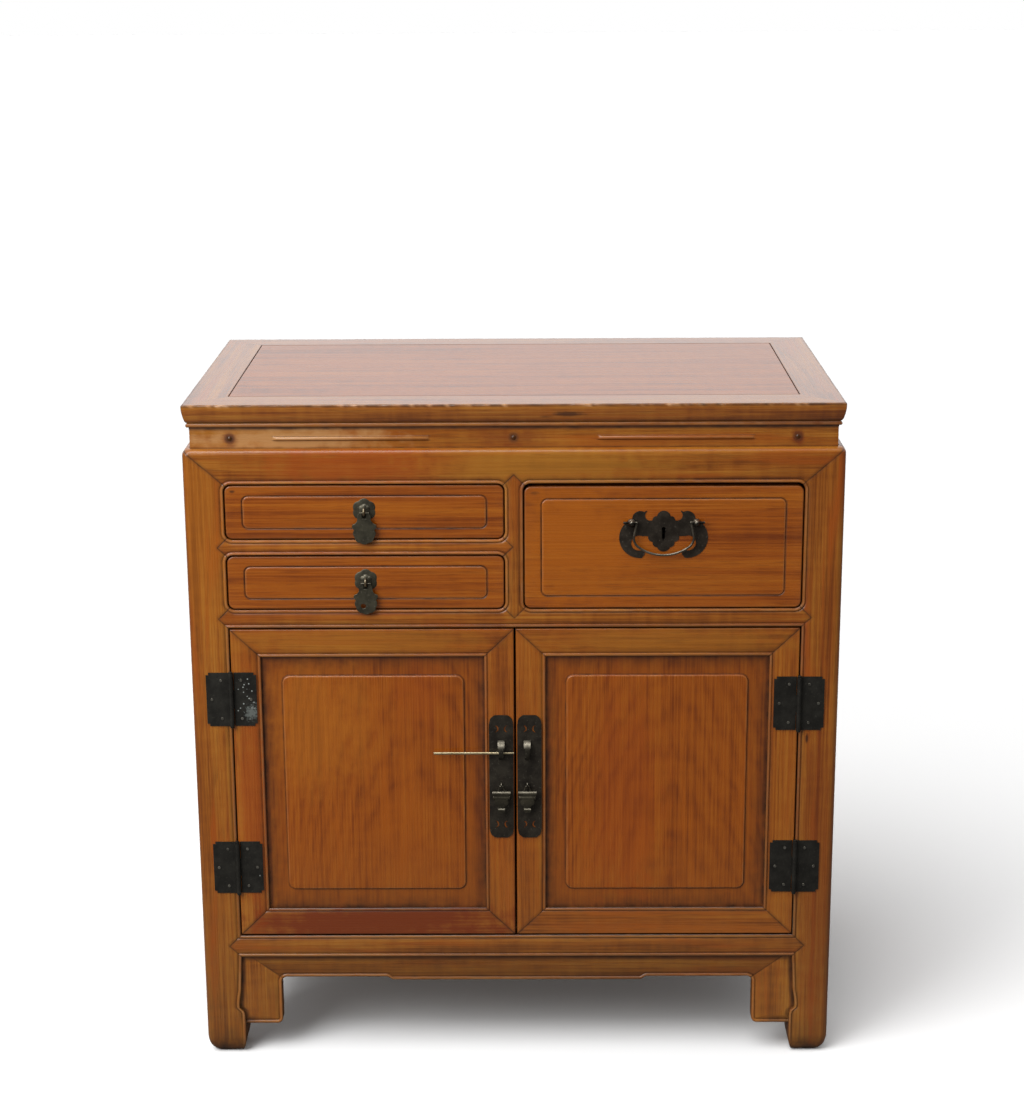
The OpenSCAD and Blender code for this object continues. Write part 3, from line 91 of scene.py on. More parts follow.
stile_w, door_rail_h, door_t, door_inset, door_panel_inset = 35.0, 34.0, 22.0, 0.5, 5.0
door_low, door_high, door_gap, doors_apart = 158.6, 545.2, 1.2, 2.2
door_panel_t, field_rise, field_margin, tongue = 7.0, 2.0, 24.0, 6.0
drawer_inset, drawer_front_t, drawer_field_side = 1.5, 20.0, 20.0
plate_t, pull_ring_r, pull_wire, hang_drop = 1.2, 4.0, 1.3, 1.45

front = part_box("leg_front_left")[0].y / MM
back = front + body_d
mid_y = (front + back) / 2
half_w, half_d, half_div = body_w / 2, body_d / 2, divider_w / 2
inner, side_inner = half_w - leg_w, half_d - leg_w


# Outlines

def arc(centre, radii, start, end, steps=8):
    """Points on an ellipse about centre, from angle start to angle end in degrees."""
    a = np.radians(np.linspace(start, end, steps + 1))
    return np.stack([centre[0] + radii[0] * np.cos(a), centre[1] + radii[1] * np.sin(a)], 1)


def path(*parts):
    """Points and runs of points joined into one array."""
    return np.concatenate([np.atleast_2d(np.asarray(p, float)) for p in parts])


def mirrored(points):
    """The same points on the other side of the middle, in the opposite order."""
    return (points * [-1, 1])[::-1]


def ring(opening, out=0.0):
    """Closed outline of an opening drawn out by a distance, its corners round or mitred."""
    x0, x1, z0, z1, r = opening
    x0, x1, z0, z1 = x0 - out, x1 + out, z0 - out, z1 + out
    if r == 0:
        return path((x1, z1), (x0, z1), (x0, z0), (x1, z0), (x1, z1))
    r = r + out
    centres = ((x1 - r, z1 - r), (x0 + r, z1 - r), (x0 + r, z0 + r), (x1 - r, z0 + r))
    turns = [arc(c, (r, r), 90 * i, 90 * i + 90) for i, c in enumerate(centres)]
    return path(*turns, turns[0][0])


def rings(opening, distances):
    """Closed outlines inside an opening, one for each distance in from its edge."""
    return [ring(opening, -e) for e in distances]


def reach(opening, x, z):
    """Distance of points from an opening's edge, positive in the wood round it."""
    x0, x1, z0, z1, r = opening
    qx = np.abs(x - (x0 + x1) / 2) - ((x1 - x0) / 2 - r)
    qz = np.abs(z - (z0 + z1) / 2) - ((z1 - z0) / 2 - r)
    if r == 0:
        return np.maximum(qx, qz)
    outside = np.hypot(np.maximum(qx, 0), np.maximum(qz, 0))
    return outside + np.minimum(np.maximum(qx, qz), 0) - r


def round_off(distance, radius):
    """Depth of a quarter round at a distance in from the edge that it eases: the radius less
    the height of its circle, sqrt(radius^2 - (radius - distance)^2)."""
    t = np.clip(radius - distance, 0, radius)
    return radius - np.sqrt(radius ** 2 - t ** 2)


def foot_curve(z):
    """How far the round under a foot has drawn in at height z, from 0 to 1, along a quarter
    circle."""
    foot = np.clip((foot_round_h - z) / foot_round_h, 0, 1)
    return 1 - np.sqrt(1 - foot ** 2)


def inset(z):
    """How far the body draws in at height z: the round under its feet plus the one at its
    upper edge."""
    return foot_round_w * foot_curve(z) + round_off(z_body - z, top_round)


def leg_width(z):
    """Width of a leg at height z: straight, tapered under the rail, with a step out to the foot."""
    return leg_w - np.interp(z, leg_heights, leg_narrows) - 0.6 * foot_round_w * foot_curve(z)


foot_levels = foot_round_h * (1 - np.sin(np.radians(np.arange(0, 91, 10))))
top_levels = z_body - top_round * (1 - np.cos(np.radians(np.arange(0, 91, 15))))
edge_levels = np.concatenate([foot_levels, top_levels])
leg_levels = np.unique(np.concatenate(
    [edge_levels, leg_heights, np.linspace(swell_low, swell_top, 13), [z_top_rail]]))


def mitre_at(z):
    """How far in the mitre between a leg and the top rails has come at height z."""
    return (z_body - z) * leg_w / (z_body - z_top_rail)


def outer_edge(start):
    """Outer edge of a leg from the floor up to its mitre, start in from the body's outline."""
    z = leg_levels[leg_levels < z_body - 0.01]
    edge = np.stack([start + inset(z), z], 1)
    level = np.linspace(z_top_rail, z_body, 4001)
    cross = level[np.argmin(np.abs(start + inset(level) - mitre_at(level)))]
    return path(edge[edge[:, 0] < mitre_at(z)], (start + inset(cross), cross))


def leg_outline(start, openings):
    """A leg seen square on, as (distance in from the outline, height). openings are the
    (low, high, corner radius) of what lies beside it, from the top down; rails come to a
    point between them."""
    down = []
    rail_lows = [high for _, high, _ in openings[1:]] + [z_rail]
    for (low, high, r), rail_low in zip(openings, rail_lows):
        tip = (low - rail_low) / 2
        down.append((leg_w, high))
        if r:
            down.append(arc((leg_w + r, high - r), (r, r), 135, 180))
            down.append(arc((leg_w + r, low + r), (r, r), 180, 225))
        down.append(path((leg_w, low), (leg_w - tip, low - tip)))
    if not openings:
        down.append((leg_w, z_top_rail))
    below = leg_levels[leg_levels <= z_rail][::-1]
    return path(outer_edge(start), *down, np.stack([leg_width(below), below], 1))


# Openings of the front and of a side: left, right, low, high, corner radius
upper_open = (-inner, -half_div, z_upper, z_top_rail, open_round)
lower_open = (-inner, -half_div, z_draw, z_small, open_round)
large_open = (half_div, inner, z_draw, z_top_rail, open_round)
door_open = (-inner, inner, z_door, z_mid, 0)
side_high = (-side_inner, side_inner, z_draw, z_top_rail, 0)
side_low = (-side_inner, side_inner, z_door, z_mid, 0)

# Section of a bead and of the face beside it: distance from the opening against depth
BEAD = np.array([(-1, 1.25), (0, 1.25), (0.2, 0.68), (0.6, 0.3), (1.15, 0.07), (1.8, 0), (2.45, 0.07),
                 (3, 0.3), (3.4, 0.68), (3.6, 1.15), (4.1, 1.35), (4.6, 1.0), (5.2, 0.64), (6.4, 0.38),
                 (8, 0.2), (10.5, 0.07), (14, 0), (1000, 0)])
RINGS = BEAD[1:-2, 0]


def bead(distance):
    """Depth of the bead's section at a distance from the opening."""
    return np.interp(distance, BEAD[:, 0], BEAD[:, 1])


def grime(distance):
    """Dirt and painted shade beside a bead and at the edge of an opening, darkest in the groove and in the
    gap, from 0 to 1.
    """
    return np.interp(distance, [0, 0.5, 3.0, 3.6, 4.1, 4.6, 5.4, 8, 13],
                     [0.85, 0, 0.05, 0.4, 0.66, 0.52, 0.25, 0.07, 0])


def crest(distance):
    """Rubbed crown of a bead with a painted highlight along it, from 0 to 1."""
    return np.interp(distance, [0.3, 1.2, 2.4, 3.2], [0, 1, 1, 0])


def scuffs(z):
    """Dirt that a foot picks up near the floor, from 0 to 1."""
    return np.interp(z, [0, 6, 16, 44], [1.0, 0.85, 0.48, 0])


def foot_edge(half, z):
    """Half the width of the space between two legs at height z, where half is that under the rail."""
    return half + leg_w - leg_width(z)


def foot_rings(half):
    """Lines beside the edge of the opening under the bottom rail, at the bead's distances."""
    z = leg_levels[(leg_levels > 1) & (leg_levels < z_rail)]
    lines = []
    for out in RINGS[RINGS < 9]:
        edge = np.stack([-foot_edge(half, z) - out, z], 1)
        lines.append(path(edge, (-half - out, z_rail + out), (half + out, z_rail + out), mirrored(edge)))
    return lines


def nearest(openings, half, s, z):
    """Distance from the nearest opening of one side of the body, the one under it too."""
    found = np.minimum.reduce([reach(o, s, z) for o in openings])
    under = np.maximum(np.abs(s) - foot_edge(half, z), z - z_rail)
    return np.minimum(found, np.where(z < z_rail + 14, under, 1000))


# Joints, as the lines that show on a face

def point(x, low, high, way=1):
    """Joint line of a rail's pointed end at x; way is the side that it points to."""
    tip = (high - low) / 2
    return path((x, high), (x + way * tip, low + tip), (x, low))


def both(line):
    """A line and its mirror image."""
    return [line, mirrored(line)]


def frame_joints(half):
    """Joints of the middle rail, the bottom rail and the mitred top rail with the legs."""
    return (both(point(half, z_mid, z_draw)) + both(point(half, z_rail, z_door))
            + both(path((half, z_top_rail), (half + leg_w, z_body))))


def corner_lines(opening):
    """Joint lines from the corners of a drawer opening to the middle of its round corners."""
    x0, x1, z0, z1, r = opening
    k = r * (1 - math.sqrt(0.5))
    return [path((x, z), (x + dx, z + dz))
            for x, dx in ((x0, k), (x1, -k)) for z, dz in ((z0, k), (z1, -k))]


side_joints = frame_joints(side_inner)
post_head = path((-half_div, z_top_rail), (0, z_top_rail + half_div), (half_div, z_top_rail))
post_foot = path((-half_div, z_draw), (0, z_draw - half_div), (half_div, z_draw))
front_joints = (frame_joints(inner) + corner_lines(upper_open) + corner_lines(lower_open)
                + corner_lines(large_open) + [point(-inner, z_small, z_upper, -1),
                                              point(-half_div, z_small, z_upper), post_head, post_foot])


def segments(lines):
    """All straight stretches of some lines, as (starts, ends)."""
    return np.concatenate([line[:-1] for line in lines]), np.concatenate([line[1:] for line in lines])


def distance_to(lines, s, z):
    """Least distance of points from some lines."""
    a, b = segments(lines)
    p = np.stack([s, z], -1)[..., None, :]
    along = np.clip(((p - a) * (b - a)).sum(-1) / ((b - a) ** 2).sum(-1), 0, 1)
    return np.linalg.norm(p - a - along[..., None] * (b - a), axis=-1).min(-1)


SEAM_W, SEAM_DEPTH, SMUDGE_W = 1.1, 0.28, 4.5


def seam(distance):
    """A joint shows as a shallow V: its share of the full depth at a distance from the joint."""
    return np.clip(1 - distance / SEAM_W, 0, 1)


def smudge(distance):
    """Dirt that has spread out of a joint, from 0 to 1."""
    return 0.42 * np.clip(1 - distance / SMUDGE_W, 0, 1)


def beside(lines, offsets=(0.4, SEAM_W, SMUDGE_W)):
    """Lines parallel to each stretch of some lines, on both sides."""
    a, b = segments(lines)
    n = (b - a)[:, ::-1] * [-1, 1] / np.linalg.norm(b - a, axis=1)[:, None]
    moves = [sign * o * n for o in offsets for sign in (-1, 1)]
    return [np.stack([p, q]) for move in moves for p, q in zip(a + move, b + move)]


# Meshes

def clip_lines(lines, low, high):
    """The stretches of lines that lie in a box, by the parameters where each enters and leaves."""
    a, b = segments(lines)
    step = b - a
    with np.errstate(divide="ignore", invalid="ignore"):
        t0 = np.where(step != 0, (low - a) / step, np.where(a >= low, -np.inf, np.inf))
        t1 = np.where(step != 0, (high - a) / step, np.where(a <= high, np.inf, -np.inf))
    enter = np.maximum(np.minimum(t0, t1).max(1), 0)
    leave = np.minimum(np.maximum(t0, t1).min(1), 1)
    ok = enter < leave - 1e-9
    a, step = a[ok], step[ok]
    return a + enter[ok, None] * step, a + leave[ok, None] * step


def fill(outline, lines):
    """Triangles that fill an outline and keep every line inside it as edges, by a constrained
    Delaunay triangulation."""
    around = np.roll(outline, -1, axis=0)
    if (outline[:, 0] * around[:, 1] - outline[:, 1] * around[:, 0]).sum() < 0:
        outline = outline[::-1]
    points, edges = [outline], []
    if lines:
        a, b = clip_lines(lines, outline.min(0) - 0.2, outline.max(0) + 0.2)
        first = len(outline) + np.arange(len(a))
        points += [a, b]
        edges = np.stack([first, first + len(a)], 1).tolist()
    flat, _, faces, _, _, origin = delaunay_2d_cdt(
        [Vector(p) for p in np.concatenate(points)], edges, [list(range(len(outline)))], 0, 1e-3)
    inside = [f for f, o in zip(faces, origin) if o]
    faces = np.array([(f[0], f[i], f[i + 1]) for f in inside for i in range(1, len(f) - 1)])
    flat = np.array([tuple(p) for p in flat])
    used, faces = np.unique(faces, return_inverse=True)
    faces = faces.reshape(-1, 3)
    flat = flat[used]
    a, b, c = (flat[faces[:, i]] for i in range(3))
    turn = (b - a)[:, 0] * (c - a)[:, 1] - (b - a)[:, 1] * (c - a)[:, 0]
    faces = np.where(turn[:, None] > 0, faces, faces[:, ::-1])[np.abs(turn) > 1e-9]
    _, first = np.unique(np.sort(faces, axis=1), axis=0, return_index=True)
    return flat, faces[first]


class Side:
    """A flat side of the cabinet: across, up and inwards as directions of the frame."""

    def __init__(self, origin, across, up, inward):
        self.origin, self.axes = np.array(origin, float), np.array([across, up, inward], float)

    def place(self, s, z, depth):
        """The origin plus s across, z up and depth inwards."""
        return self.origin + np.stack([s, z, depth], 1) @ self.axes


FRONT = Side((0, front, 0), (1, 0, 0), (0, 0, 1), (0, 1, 0))
BACK = Side((0, back, 0), (-1, 0, 0), (0, 0, 1), (0, -1, 0))
LEFT = Side((-half_w, mid_y, 0), (0, -1, 0), (0, 0, 1), (1, 0, 0))
RIGHT = Side((half_w, mid_y, 0), (0, 1, 0), (0, 0, 1), (-1, 0, 0))
TOP = Side((0, 0, total_h), (1, 0, 0), (0, 1, 0), (0, 0, -1))

# A board's face: the lines that its mesh keeps as edges, its depth, and the finish's three
# masks (dirt and painted shade, rubbing and painted highlight, joint), the last two as functions of the place
# on the side
Face = namedtuple("Face", "lines depth masks")


def even(value):
    """A depth, or a mask, that has one value everywhere."""
    def field(s, z):
        return np.full_like(s, value)
    return field


def no_masks(s, z):
    """None of the three masks anywhere: dirt and painted shade, rubbing and painted highlight, joint."""
    return (np.zeros_like(s),) * 3


def merge(mesh, coplanar=False):
    """Joins points that lie on each other and, if asked, faces that lie in one plane."""
    work = bmesh.new()
    work.from_mesh(mesh)
    bmesh.ops.remove_doubles(work, verts=work.verts, dist=1e-6)
    if coplanar:
        bmesh.ops.dissolve_limit(work, angle_limit=math.radians(0.5), verts=work.verts, edges=work.edges)
        bmesh.ops.recalc_face_normals(work, faces=work.faces)
    work.to_mesh(mesh)
    work.free()


def linked(name, data):
    """A new object in the scene."""
    thing = bpy.data.objects.new(name, data)
    bpy.context.scene.collection.objects.link(thing)
    return thing


class Solid:
    """Points, triangles and the normal of each triangle's corners, with masks for the finish."""

    def __init__(self):
        self.points, self.faces, self.normals, self.masks, self.count = [], [], [], [], 0

    def add(self, points, faces, normals, masks):
        """Appends a part, whose triangles count on from the points that are there."""
        self.points.append(points)
        self.faces.append(faces + self.count)
        self.normals.append(normals)
        self.masks.append(masks)
        self.count += len(points)
        return self

    def face_normals(self, points, faces):
        """The cross product of two edges of each triangle, as long as 1."""
        a, b, c = (points[faces[:, i]] for i in range(3))
        n = np.cross(b - a, c - a)
        return n / np.maximum(np.linalg.norm(n, axis=1), 1e-12)[:, None]

    def carve(self, outline, face, behind, *sides):
        """A board seen square on, the same on each of the sides given. Its face is the height
        field depth(s, z) over the outline, its back the field behind(s, z), and walls join the
        two round the edge."""
        lines, depth, masks = face
        flat, tris = fill(outline, lines)
        s, z = flat.T
        near = depth(s, z)
        far = np.maximum(behind(s, z), near + 0.02)
        step = 0.01
        slope_s = (depth(s + step, z) - depth(s - step, z)) / (2 * step)
        slope_z = (depth(s, z + step) - depth(s, z - step)) / (2 * step)
        normal = np.stack([slope_s, slope_z, -np.ones_like(s)], 1)
        normal /= np.linalg.norm(normal, axis=1)[:, None]
        n = len(flat)
        edges = np.concatenate([tris[:, [0, 1]], tris[:, [1, 2]], tris[:, [2, 0]]])
        _, where, uses = np.unique(np.sort(edges, axis=1), axis=0, return_index=True, return_counts=True)
        rim = edges[where[uses == 1]]
        walls = np.concatenate([np.stack([rim[:, 1], rim[:, 0], rim[:, 0] + n], 1),
                                np.stack([rim[:, 1], rim[:, 0] + n, rim[:, 1] + n], 1)])
        plain = np.concatenate([tris[:, ::-1] + n, walls])
        mask = np.zeros((2 * n, 3))
        mask[:n] = np.stack(masks(s, z), 1)
        for side in sides:
            points = np.concatenate([side.place(s, z, near), side.place(s, z, far)])
            loops = [(normal @ side.axes)[tris].reshape(-1, 3),
                     np.repeat(self.face_normals(points, plain), 3, axis=0)]
            self.add(points, np.concatenate([tris, plain]), np.concatenate(loops), mask)
        return self

    def grid(self, points, masks):
        """A surface given as rows of points that each close on themselves, with two triangles
        between every four neighbours."""
        rows, cols = points.shape[:2]
        i, j = np.meshgrid(np.arange(rows - 1), np.arange(cols), indexing="ij")
        a, b = i * cols + j, i * cols + (j + 1) % cols
        c, d = a + cols, b + cols
        faces = np.concatenate([np.stack(t, -1).reshape(-1, 3) for t in ((a, b, d), (a, d, c))])
        unset = np.full((len(faces) * 3, 3), np.nan)
        return self.add(points.reshape(-1, 3), faces, unset, masks.reshape(-1, 3))

    def turn(self, section, origin, axis, lobes=None):
        """A turned shape: at every angle, a radius out from the axis and a distance along it.
        section is its (radius, distance) from the far end, and lobes, where given, scales the
        radius at each angle."""
        u, v = {"X": ((0, 1, 0), (0, 0, 1)), "Y": ((1, 0, 0), (0, 0, 1))}[axis]
        along = np.cross(u, v)
        angle = np.radians(np.arange(0, 360, 5))
        radius, far = np.array(section, float).T
        around = np.cos(angle)[:, None] * np.array(u) + np.sin(angle)[:, None] * np.array(v)
        scale = lobes(angle) if lobes else np.ones_like(angle)
        points = (np.array(origin) + far[:, None, None] * along
                  + (radius[:, None] * scale)[..., None] * around)
        return self.grid(points, np.zeros(points.shape))

    def make(self, name, material, replaces=(), body="carcass", slot="frame_wood"):
        """The finished piece, in metres, that rides on a body and stands in for CAD nodes."""
        points, faces = np.concatenate(self.points), np.concatenate(self.faces)
        normals, masks = np.concatenate(self.normals), np.concatenate(self.masks)
        mesh = bpy.data.meshes.new(name)
        mesh.vertices.add(len(points))
        mesh.vertices.foreach_set("co", (points * MM).astype(np.float32).ravel())
        mesh.loops.add(len(faces) * 3)
        mesh.loops.foreach_set("vertex_index", faces.astype(np.int32).ravel())
        mesh.polygons.add(len(faces))
        mesh.polygons.foreach_set("loop_start", np.arange(0, len(faces) * 3, 3, dtype=np.int32))
        mesh.update(calc_edges=True)
        mesh.validate()
        for i, label in enumerate(("grime", "crest", "seam")):
            layer = mesh.attributes.new(label, "FLOAT", "POINT")
            layer.data.foreach_set("value", masks[:, i].astype(np.float32))
        mesh.shade_smooth()
        if np.isnan(normals).any():
            merge(mesh)
            mesh.set_sharp_from_angle(angle=math.radians(35))
        else:
            mesh.normals_split_custom_set(normals.tolist())
        mesh.materials.append(material)
        piece = linked(name, mesh)
        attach(piece, body)
        if replaces:
            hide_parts(*replaces)


# Materials

class Tree:
    """The nodes of a material or of the world."""

    def __init__(self, owner, shader="Principled BSDF"):
        owner.use_nodes = True
        self.owner = owner
        self.nodes, self.links = owner.node_tree.nodes, owner.node_tree.links
        self.shader = self.nodes[shader]

    def node(self, kind, settings=None, inputs=None, out=0):
        """Any node: its type, its settings, and the values or links of its sockets."""
        made = self.nodes.new("ShaderNode" + kind)
        for key, value in (settings or {}).items():
            if key == "stops":
                while len(made.color_ramp.elements) < len(value):
                    made.color_ramp.elements.new(0.5)
                for stop, (place, colour) in zip(made.color_ramp.elements, value):
                    stop.position, stop.color = place, (*colour, 1)
            else:
                setattr(made, key, value)
        for key, value in (inputs or {}).items():
            self.connect(value, made.inputs[key])
        return Socket(self, made.outputs[out])

    def connect(self, value, socket):
        """Links a socket or sets its value; a colour of three numbers gets its alpha."""
        if isinstance(value, Socket):
            self.links.new(value.out, socket)
        elif isinstance(value, tuple) and len(value) == 3 and len(socket.default_value) == 4:
            socket.default_value = (*value, 1)
        else:
            socket.default_value = value

    def set(self, **inputs):
        """Inputs of the shader, with _ for a space in their names."""
        for key, value in inputs.items():
            self.connect(value, self.shader.inputs[key.replace("_", " ")])

    def mask(self, name):
        """One of the masks that a mesh of this script carries."""
        return self.node("Attribute", {"attribute_name": name}, out="Fac")

    def noise(self, stretch, detail=3.0, roughness=0.55, distortion=0.0, shift=(0, 0, 0)):
        """Noise at the place scaled by stretch on each axis, and shifted."""
        place = self.node("Mapping", {}, {"Vector": self.place, "Scale": stretch, "Location": shift})
        return self.node("TexNoise", {}, {"Vector": place, "Scale": 1.0, "Detail": detail,
                                          "Roughness": roughness, "Distortion": distortion})

    def blend(self, factor, a, b):
        """Colour a where the factor is 0, b where it is 1."""
        return self.node("Mix", {"data_type": "RGBA"}, {"Factor": factor, 6: a, 7: b}, out=2)

    def spot(self, colour, centre, radii, tint, strength, ragged):
        """Colour with a soft-edged spot of tint over it; ragged is noise that breaks its edge."""
        return self.blend((self.within(centre, radii) + ragged).above(1.0, 0.45) * strength, colour, tint)

    def within(self, centre, radii):
        """0 at the centre of an ellipsoid, given in millimetres, and 1 at its surface."""
        place = self.node("Mapping", {}, {"Vector": self.place, "Scale": tuple(1 / (r * MM) for r in radii),
                                          "Location": tuple(-c / r for c, r in zip(centre, radii))})
        return self.node("VectorMath", {"operation": "LENGTH"}, {0: place}, out="Value")

    def bump(self, height, strength, distance):
        """Small relief by the shader's normal."""
        self.set(Normal=self.node("Bump", {}, {"Height": height, "Strength": strength, "Distance": distance}))

    @cached_property
    def place(self):
        """Place in the object's own axes, in metres."""
        return self.node("TexCoord", out="Object")


class Socket:
    """An output whose arithmetic adds Math nodes."""

    def __init__(self, tree, out):
        self.tree, self.out = tree, out

    def other(self, name):
        """Another output of the same node."""
        return Socket(self.tree, self.out.node.outputs[name])

    def _math(self, operation, *values):
        return self.tree.node("Math", {"operation": operation}, dict(enumerate(values)))

    def __add__(self, other):
        return self._math("ADD", self, other)

    __radd__ = __add__

    def __sub__(self, other):
        return self._math("SUBTRACT", self, other)

    def __rsub__(self, other):
        return self._math("SUBTRACT", other, self)

    def __mul__(self, other):
        return self._math("MULTIPLY", self, other)

    __rmul__ = __mul__

    def __pow__(self, other):
        return self._math("POWER", self, other)

    def sine(self):
        return self._math("SINE", self)

    def above(self, low, high):
        """0 below low, 1 above high, straight between."""
        return self.tree.node("MapRange", {"clamp": True}, {"Value": self, "From Min": low, "From Max": high})


def shade(colour, factor):
    """A colour lighter or darker by a factor."""
    return tuple(c * factor for c in colour)


STAIN_RED, STAIN_OLIVE, KNOT = (0.33, 0.060, 0.004), (0.37, 0.150, 0.014), (0.030, 0.010, 0.004)
# The amber is a painted pool of light where the lamp falls on the upper left; the dark is for stains and for
# painted shade.
DARK_STAIN_AND_SHADE, STAIN_PALE, PAINTED_LIGHT_AMBER = (0.16, 0.028, 0.005), (0.48, 0.24, 0.085), (0.42, 0.135, 0.009)
STAIN_LIGHT = (0.40, 0.105, 0.004)
# Dark lines, body, light fibres and warm streaks of each wood
FRAME_WOOD = ((0.150, 0.035, 0.0030), (0.295, 0.086, 0.0070), (0.405, 0.155, 0.0170), (0.315, 0.068, 0.0040))
FRONT_WOOD = ((0.155, 0.030, 0.0020), (0.292, 0.068, 0.0030), (0.385, 0.110, 0.0060), (0.340, 0.080, 0.0030))
PLAIN_WOOD = ((0.24, 0.105, 0.036), (0.38, 0.195, 0.075), (0.47, 0.265, 0.115), (0.41, 0.20, 0.075))
DOOR_WOOD = tuple(tuple((a + b) / 2 for a, b in zip(f, g)) for f, g in zip(FRAME_WOOD, FRONT_WOOD))


def frame_wood(factor):
    """The frame's wood, lighter or darker by a factor."""
    return tuple(shade(c, factor) for c in FRAME_WOOD)


def stretch(along, fine, across):
    """A noise's scale on each axis: fine along the grain, across the other two."""
    return tuple(fine if axis == along else across for axis in "XYZ")


def wood(name, along, seed, colours=FRAME_WOOD, gloss=0.27, coat=0.15, lines=1.0, clouds=1.0, streaks=1.0,
         arch=None, darken_low=True, marks=()):
    """Polished hardwood with its grain along one axis. colours are its dark lines, its body,
    its light fibres and its warm streaks. lines, clouds and streaks set how strong the growth
    lines, the broad patches and the long streaks are; arch is the place (m) of a flame figure, and
    marks are knots, stains and painted pools of light and shade as (centre, half sizes, colour, strength)."""
    t = Tree(bpy.data.materials.new(name))
    dark, body, light, warm = colours
    shift = (0.37 * seed, 1.13 * seed, 0.71 * seed)
    fibre = t.noise(stretch(along, 4.5, 400), 4, 0.7, shift=shift)
    band = t.noise(stretch(along, 1.8, 62), 4, 0.6, 0.25, shift=shift)
    cloud = t.noise(stretch(along, 4.5, 9), 3, 0.55, 0.8, shift=shift)
    ripple = t.noise(stretch(along, 95, 22), 2, 0.5, shift=shift)
    streak = t.noise(stretch(along, 4.2, 58), 2, 0.5, 0.5, shift=(shift[2], shift[0], shift[1]))
    pore = t.noise(stretch(along, 60, 1500), 1, 0.5, shift=shift)
    vein = t.noise(stretch(along, 17, 310), 2, 0.6, shift=(shift[1], shift[2], shift[0]))
    tone = (fibre + band * (1.25 * lines) + cloud * (0.65 * clouds)
            + ripple * (0.35 * clouds) - (0.625 * lines + 0.5 * clouds))
    if arch:
        place = t.node("Mapping", {}, {"Vector": t.place, "Location": tuple(-v for v in arch)})
        apart = t.node("SeparateXYZ", {}, {"Vector": place})
        up = apart.other("Z")
        flame = (apart * apart * 520 + up * 26 + cloud * 4.5 + band * 1.2) * 4.2
        tone = tone - (flame.sine() * 0.5 + 0.5) ** 2 * up.above(-0.22, 0.04) * 0.10
    base = t.node("ValToRGB", {"stops": [(0.22, dark), (0.47, body), (0.80, light)]}, {"Fac": tone})
    colour = t.blend(streak.above(0.52, 0.68) * (0.75 * streaks), base, warm)
    colour = t.blend(cloud.above(0.48, 0.72) * (0.45 * clouds), colour, shade(dark, 1.5))
    colour = t.blend(vein.above(0.54, 0.68) * (0.42 * lines), colour, shade(dark, 0.85))
    colour = t.blend(pore.above(0.60, 0.74) * 0.3, colour, shade(dark, 0.6))
    uneven = t.noise((70, 70, 70), 3).above(0.3, 0.68)
    # Darker and duller towards the floor, fading out at 0.3 m up.
    if darken_low:
        height = t.node("SeparateXYZ", {}, {"Vector": t.place}, out="Z")
        low_darkening = height.above(0.30, -0.10) * (uneven * 0.4 + 0.6) * 0.55
        colour = t.blend(low_darkening, colour, (0.17, 0.095, 0.034))
    for centre, radii, tint, strength in marks:
        colour = t.spot(colour, centre, radii, tint, strength, (fibre + uneven * 0.5 + band - 1.2) * 0.9)
    # Rubbing and painted highlights lighten, dirt and painted shade darken, joints darken.
    dirt_and_shade, rub_and_highlight, joint = t.mask("grime"), t.mask("crest"), t.mask("seam")
    colour = t.blend(rub_and_highlight * (uneven * 0.25 + 0.06), colour, (0.52, 0.27, 0.12))
    colour = t.blend(dirt_and_shade * (uneven * 0.45 + 0.45), colour, (0.017, 0.006, 0.0015))
    colour = t.blend(joint * (uneven * 0.45 + 0.42), colour, (0.014, 0.005, 0.002))
    t.set(Base_Color=colour, Roughness=fibre * 0.14 + (gloss - 0.07) + dirt_and_shade * 0.25, Coat_Weight=coat,
          Coat_Roughness=0.1, IOR=1.46)
    t.bump(fibre * 0.5 + pore * 0.2 + cloud * 2.0, 0.08, 0.001)
    return t.owner


def metal(name, colour, patina, metallic=0.85, rough=0.5, fleck=0.4, seed=0, worn=0.0, specks=(), marks=(),
          ragged=1.0):
    """Old brass under a dark skin: cloudy patina, fine pitting and rubbed flecks. worn is how
    much lighter the faces that look up are painted, as rubbed brass and as a painted highlight, specks are
    patches of pale spots as (centre, half sizes), marks are smears as in wood and ragged is how far noise
    breaks their edges."""
    t = Tree(bpy.data.materials.new(name))
    shift = (0.31 * seed, 0.17 * seed, 0.53 * seed)
    cloud = t.noise((70, 70, 70), 4, 0.65, shift=shift)
    pit = t.noise((900, 900, 900), 2, 0.6, shift=shift)
    bright = t.noise((330, 330, 330), 3, 0.7, shift=shift)
    base = t.blend(cloud.above(0.38, 0.66), colour, patina)
    base = t.blend(bright.above(0.60, 0.72) * fleck, base, (0.42, 0.38, 0.30))
    if worn:
        # Painted highlight: faces that look up are painted lighter, as rubbed brass lit from above.
        up = t.node("SeparateXYZ", {}, {"Vector": t.node("TexCoord", out="Normal")}, out="Z")
        rubbed_and_lit = up.above(0.35, 0.85) * (bright.above(0.36, 0.6) * 0.75 + 0.25) * worn
        base = t.blend(rubbed_and_lit, base, (0.46, 0.42, 0.33))
    for centre, radii in specks:
        apart = t.node("TexVoronoi", {}, {"Vector": t.place, "Scale": 210.0}, out="Distance")
        near = t.within(centre, radii)
        base = t.blend(near.above(1.0, 0.85) * apart.above(0.21, 0.13) * 0.9, base, (0.62, 0.66, 0.62))
    for centre, radii, tint, strength in marks:
        base = t.spot(base, centre, radii, tint, strength, (bright * 3.2 + cloud - 2.05) * ragged)
    t.set(Base_Color=base, Metallic=metallic, Roughness=cloud * 0.3 + pit * 0.12 + (rough - 0.2))
    t.bump(pit * 0.5 + cloud, 0.35, 0.0006)
    return t.owner


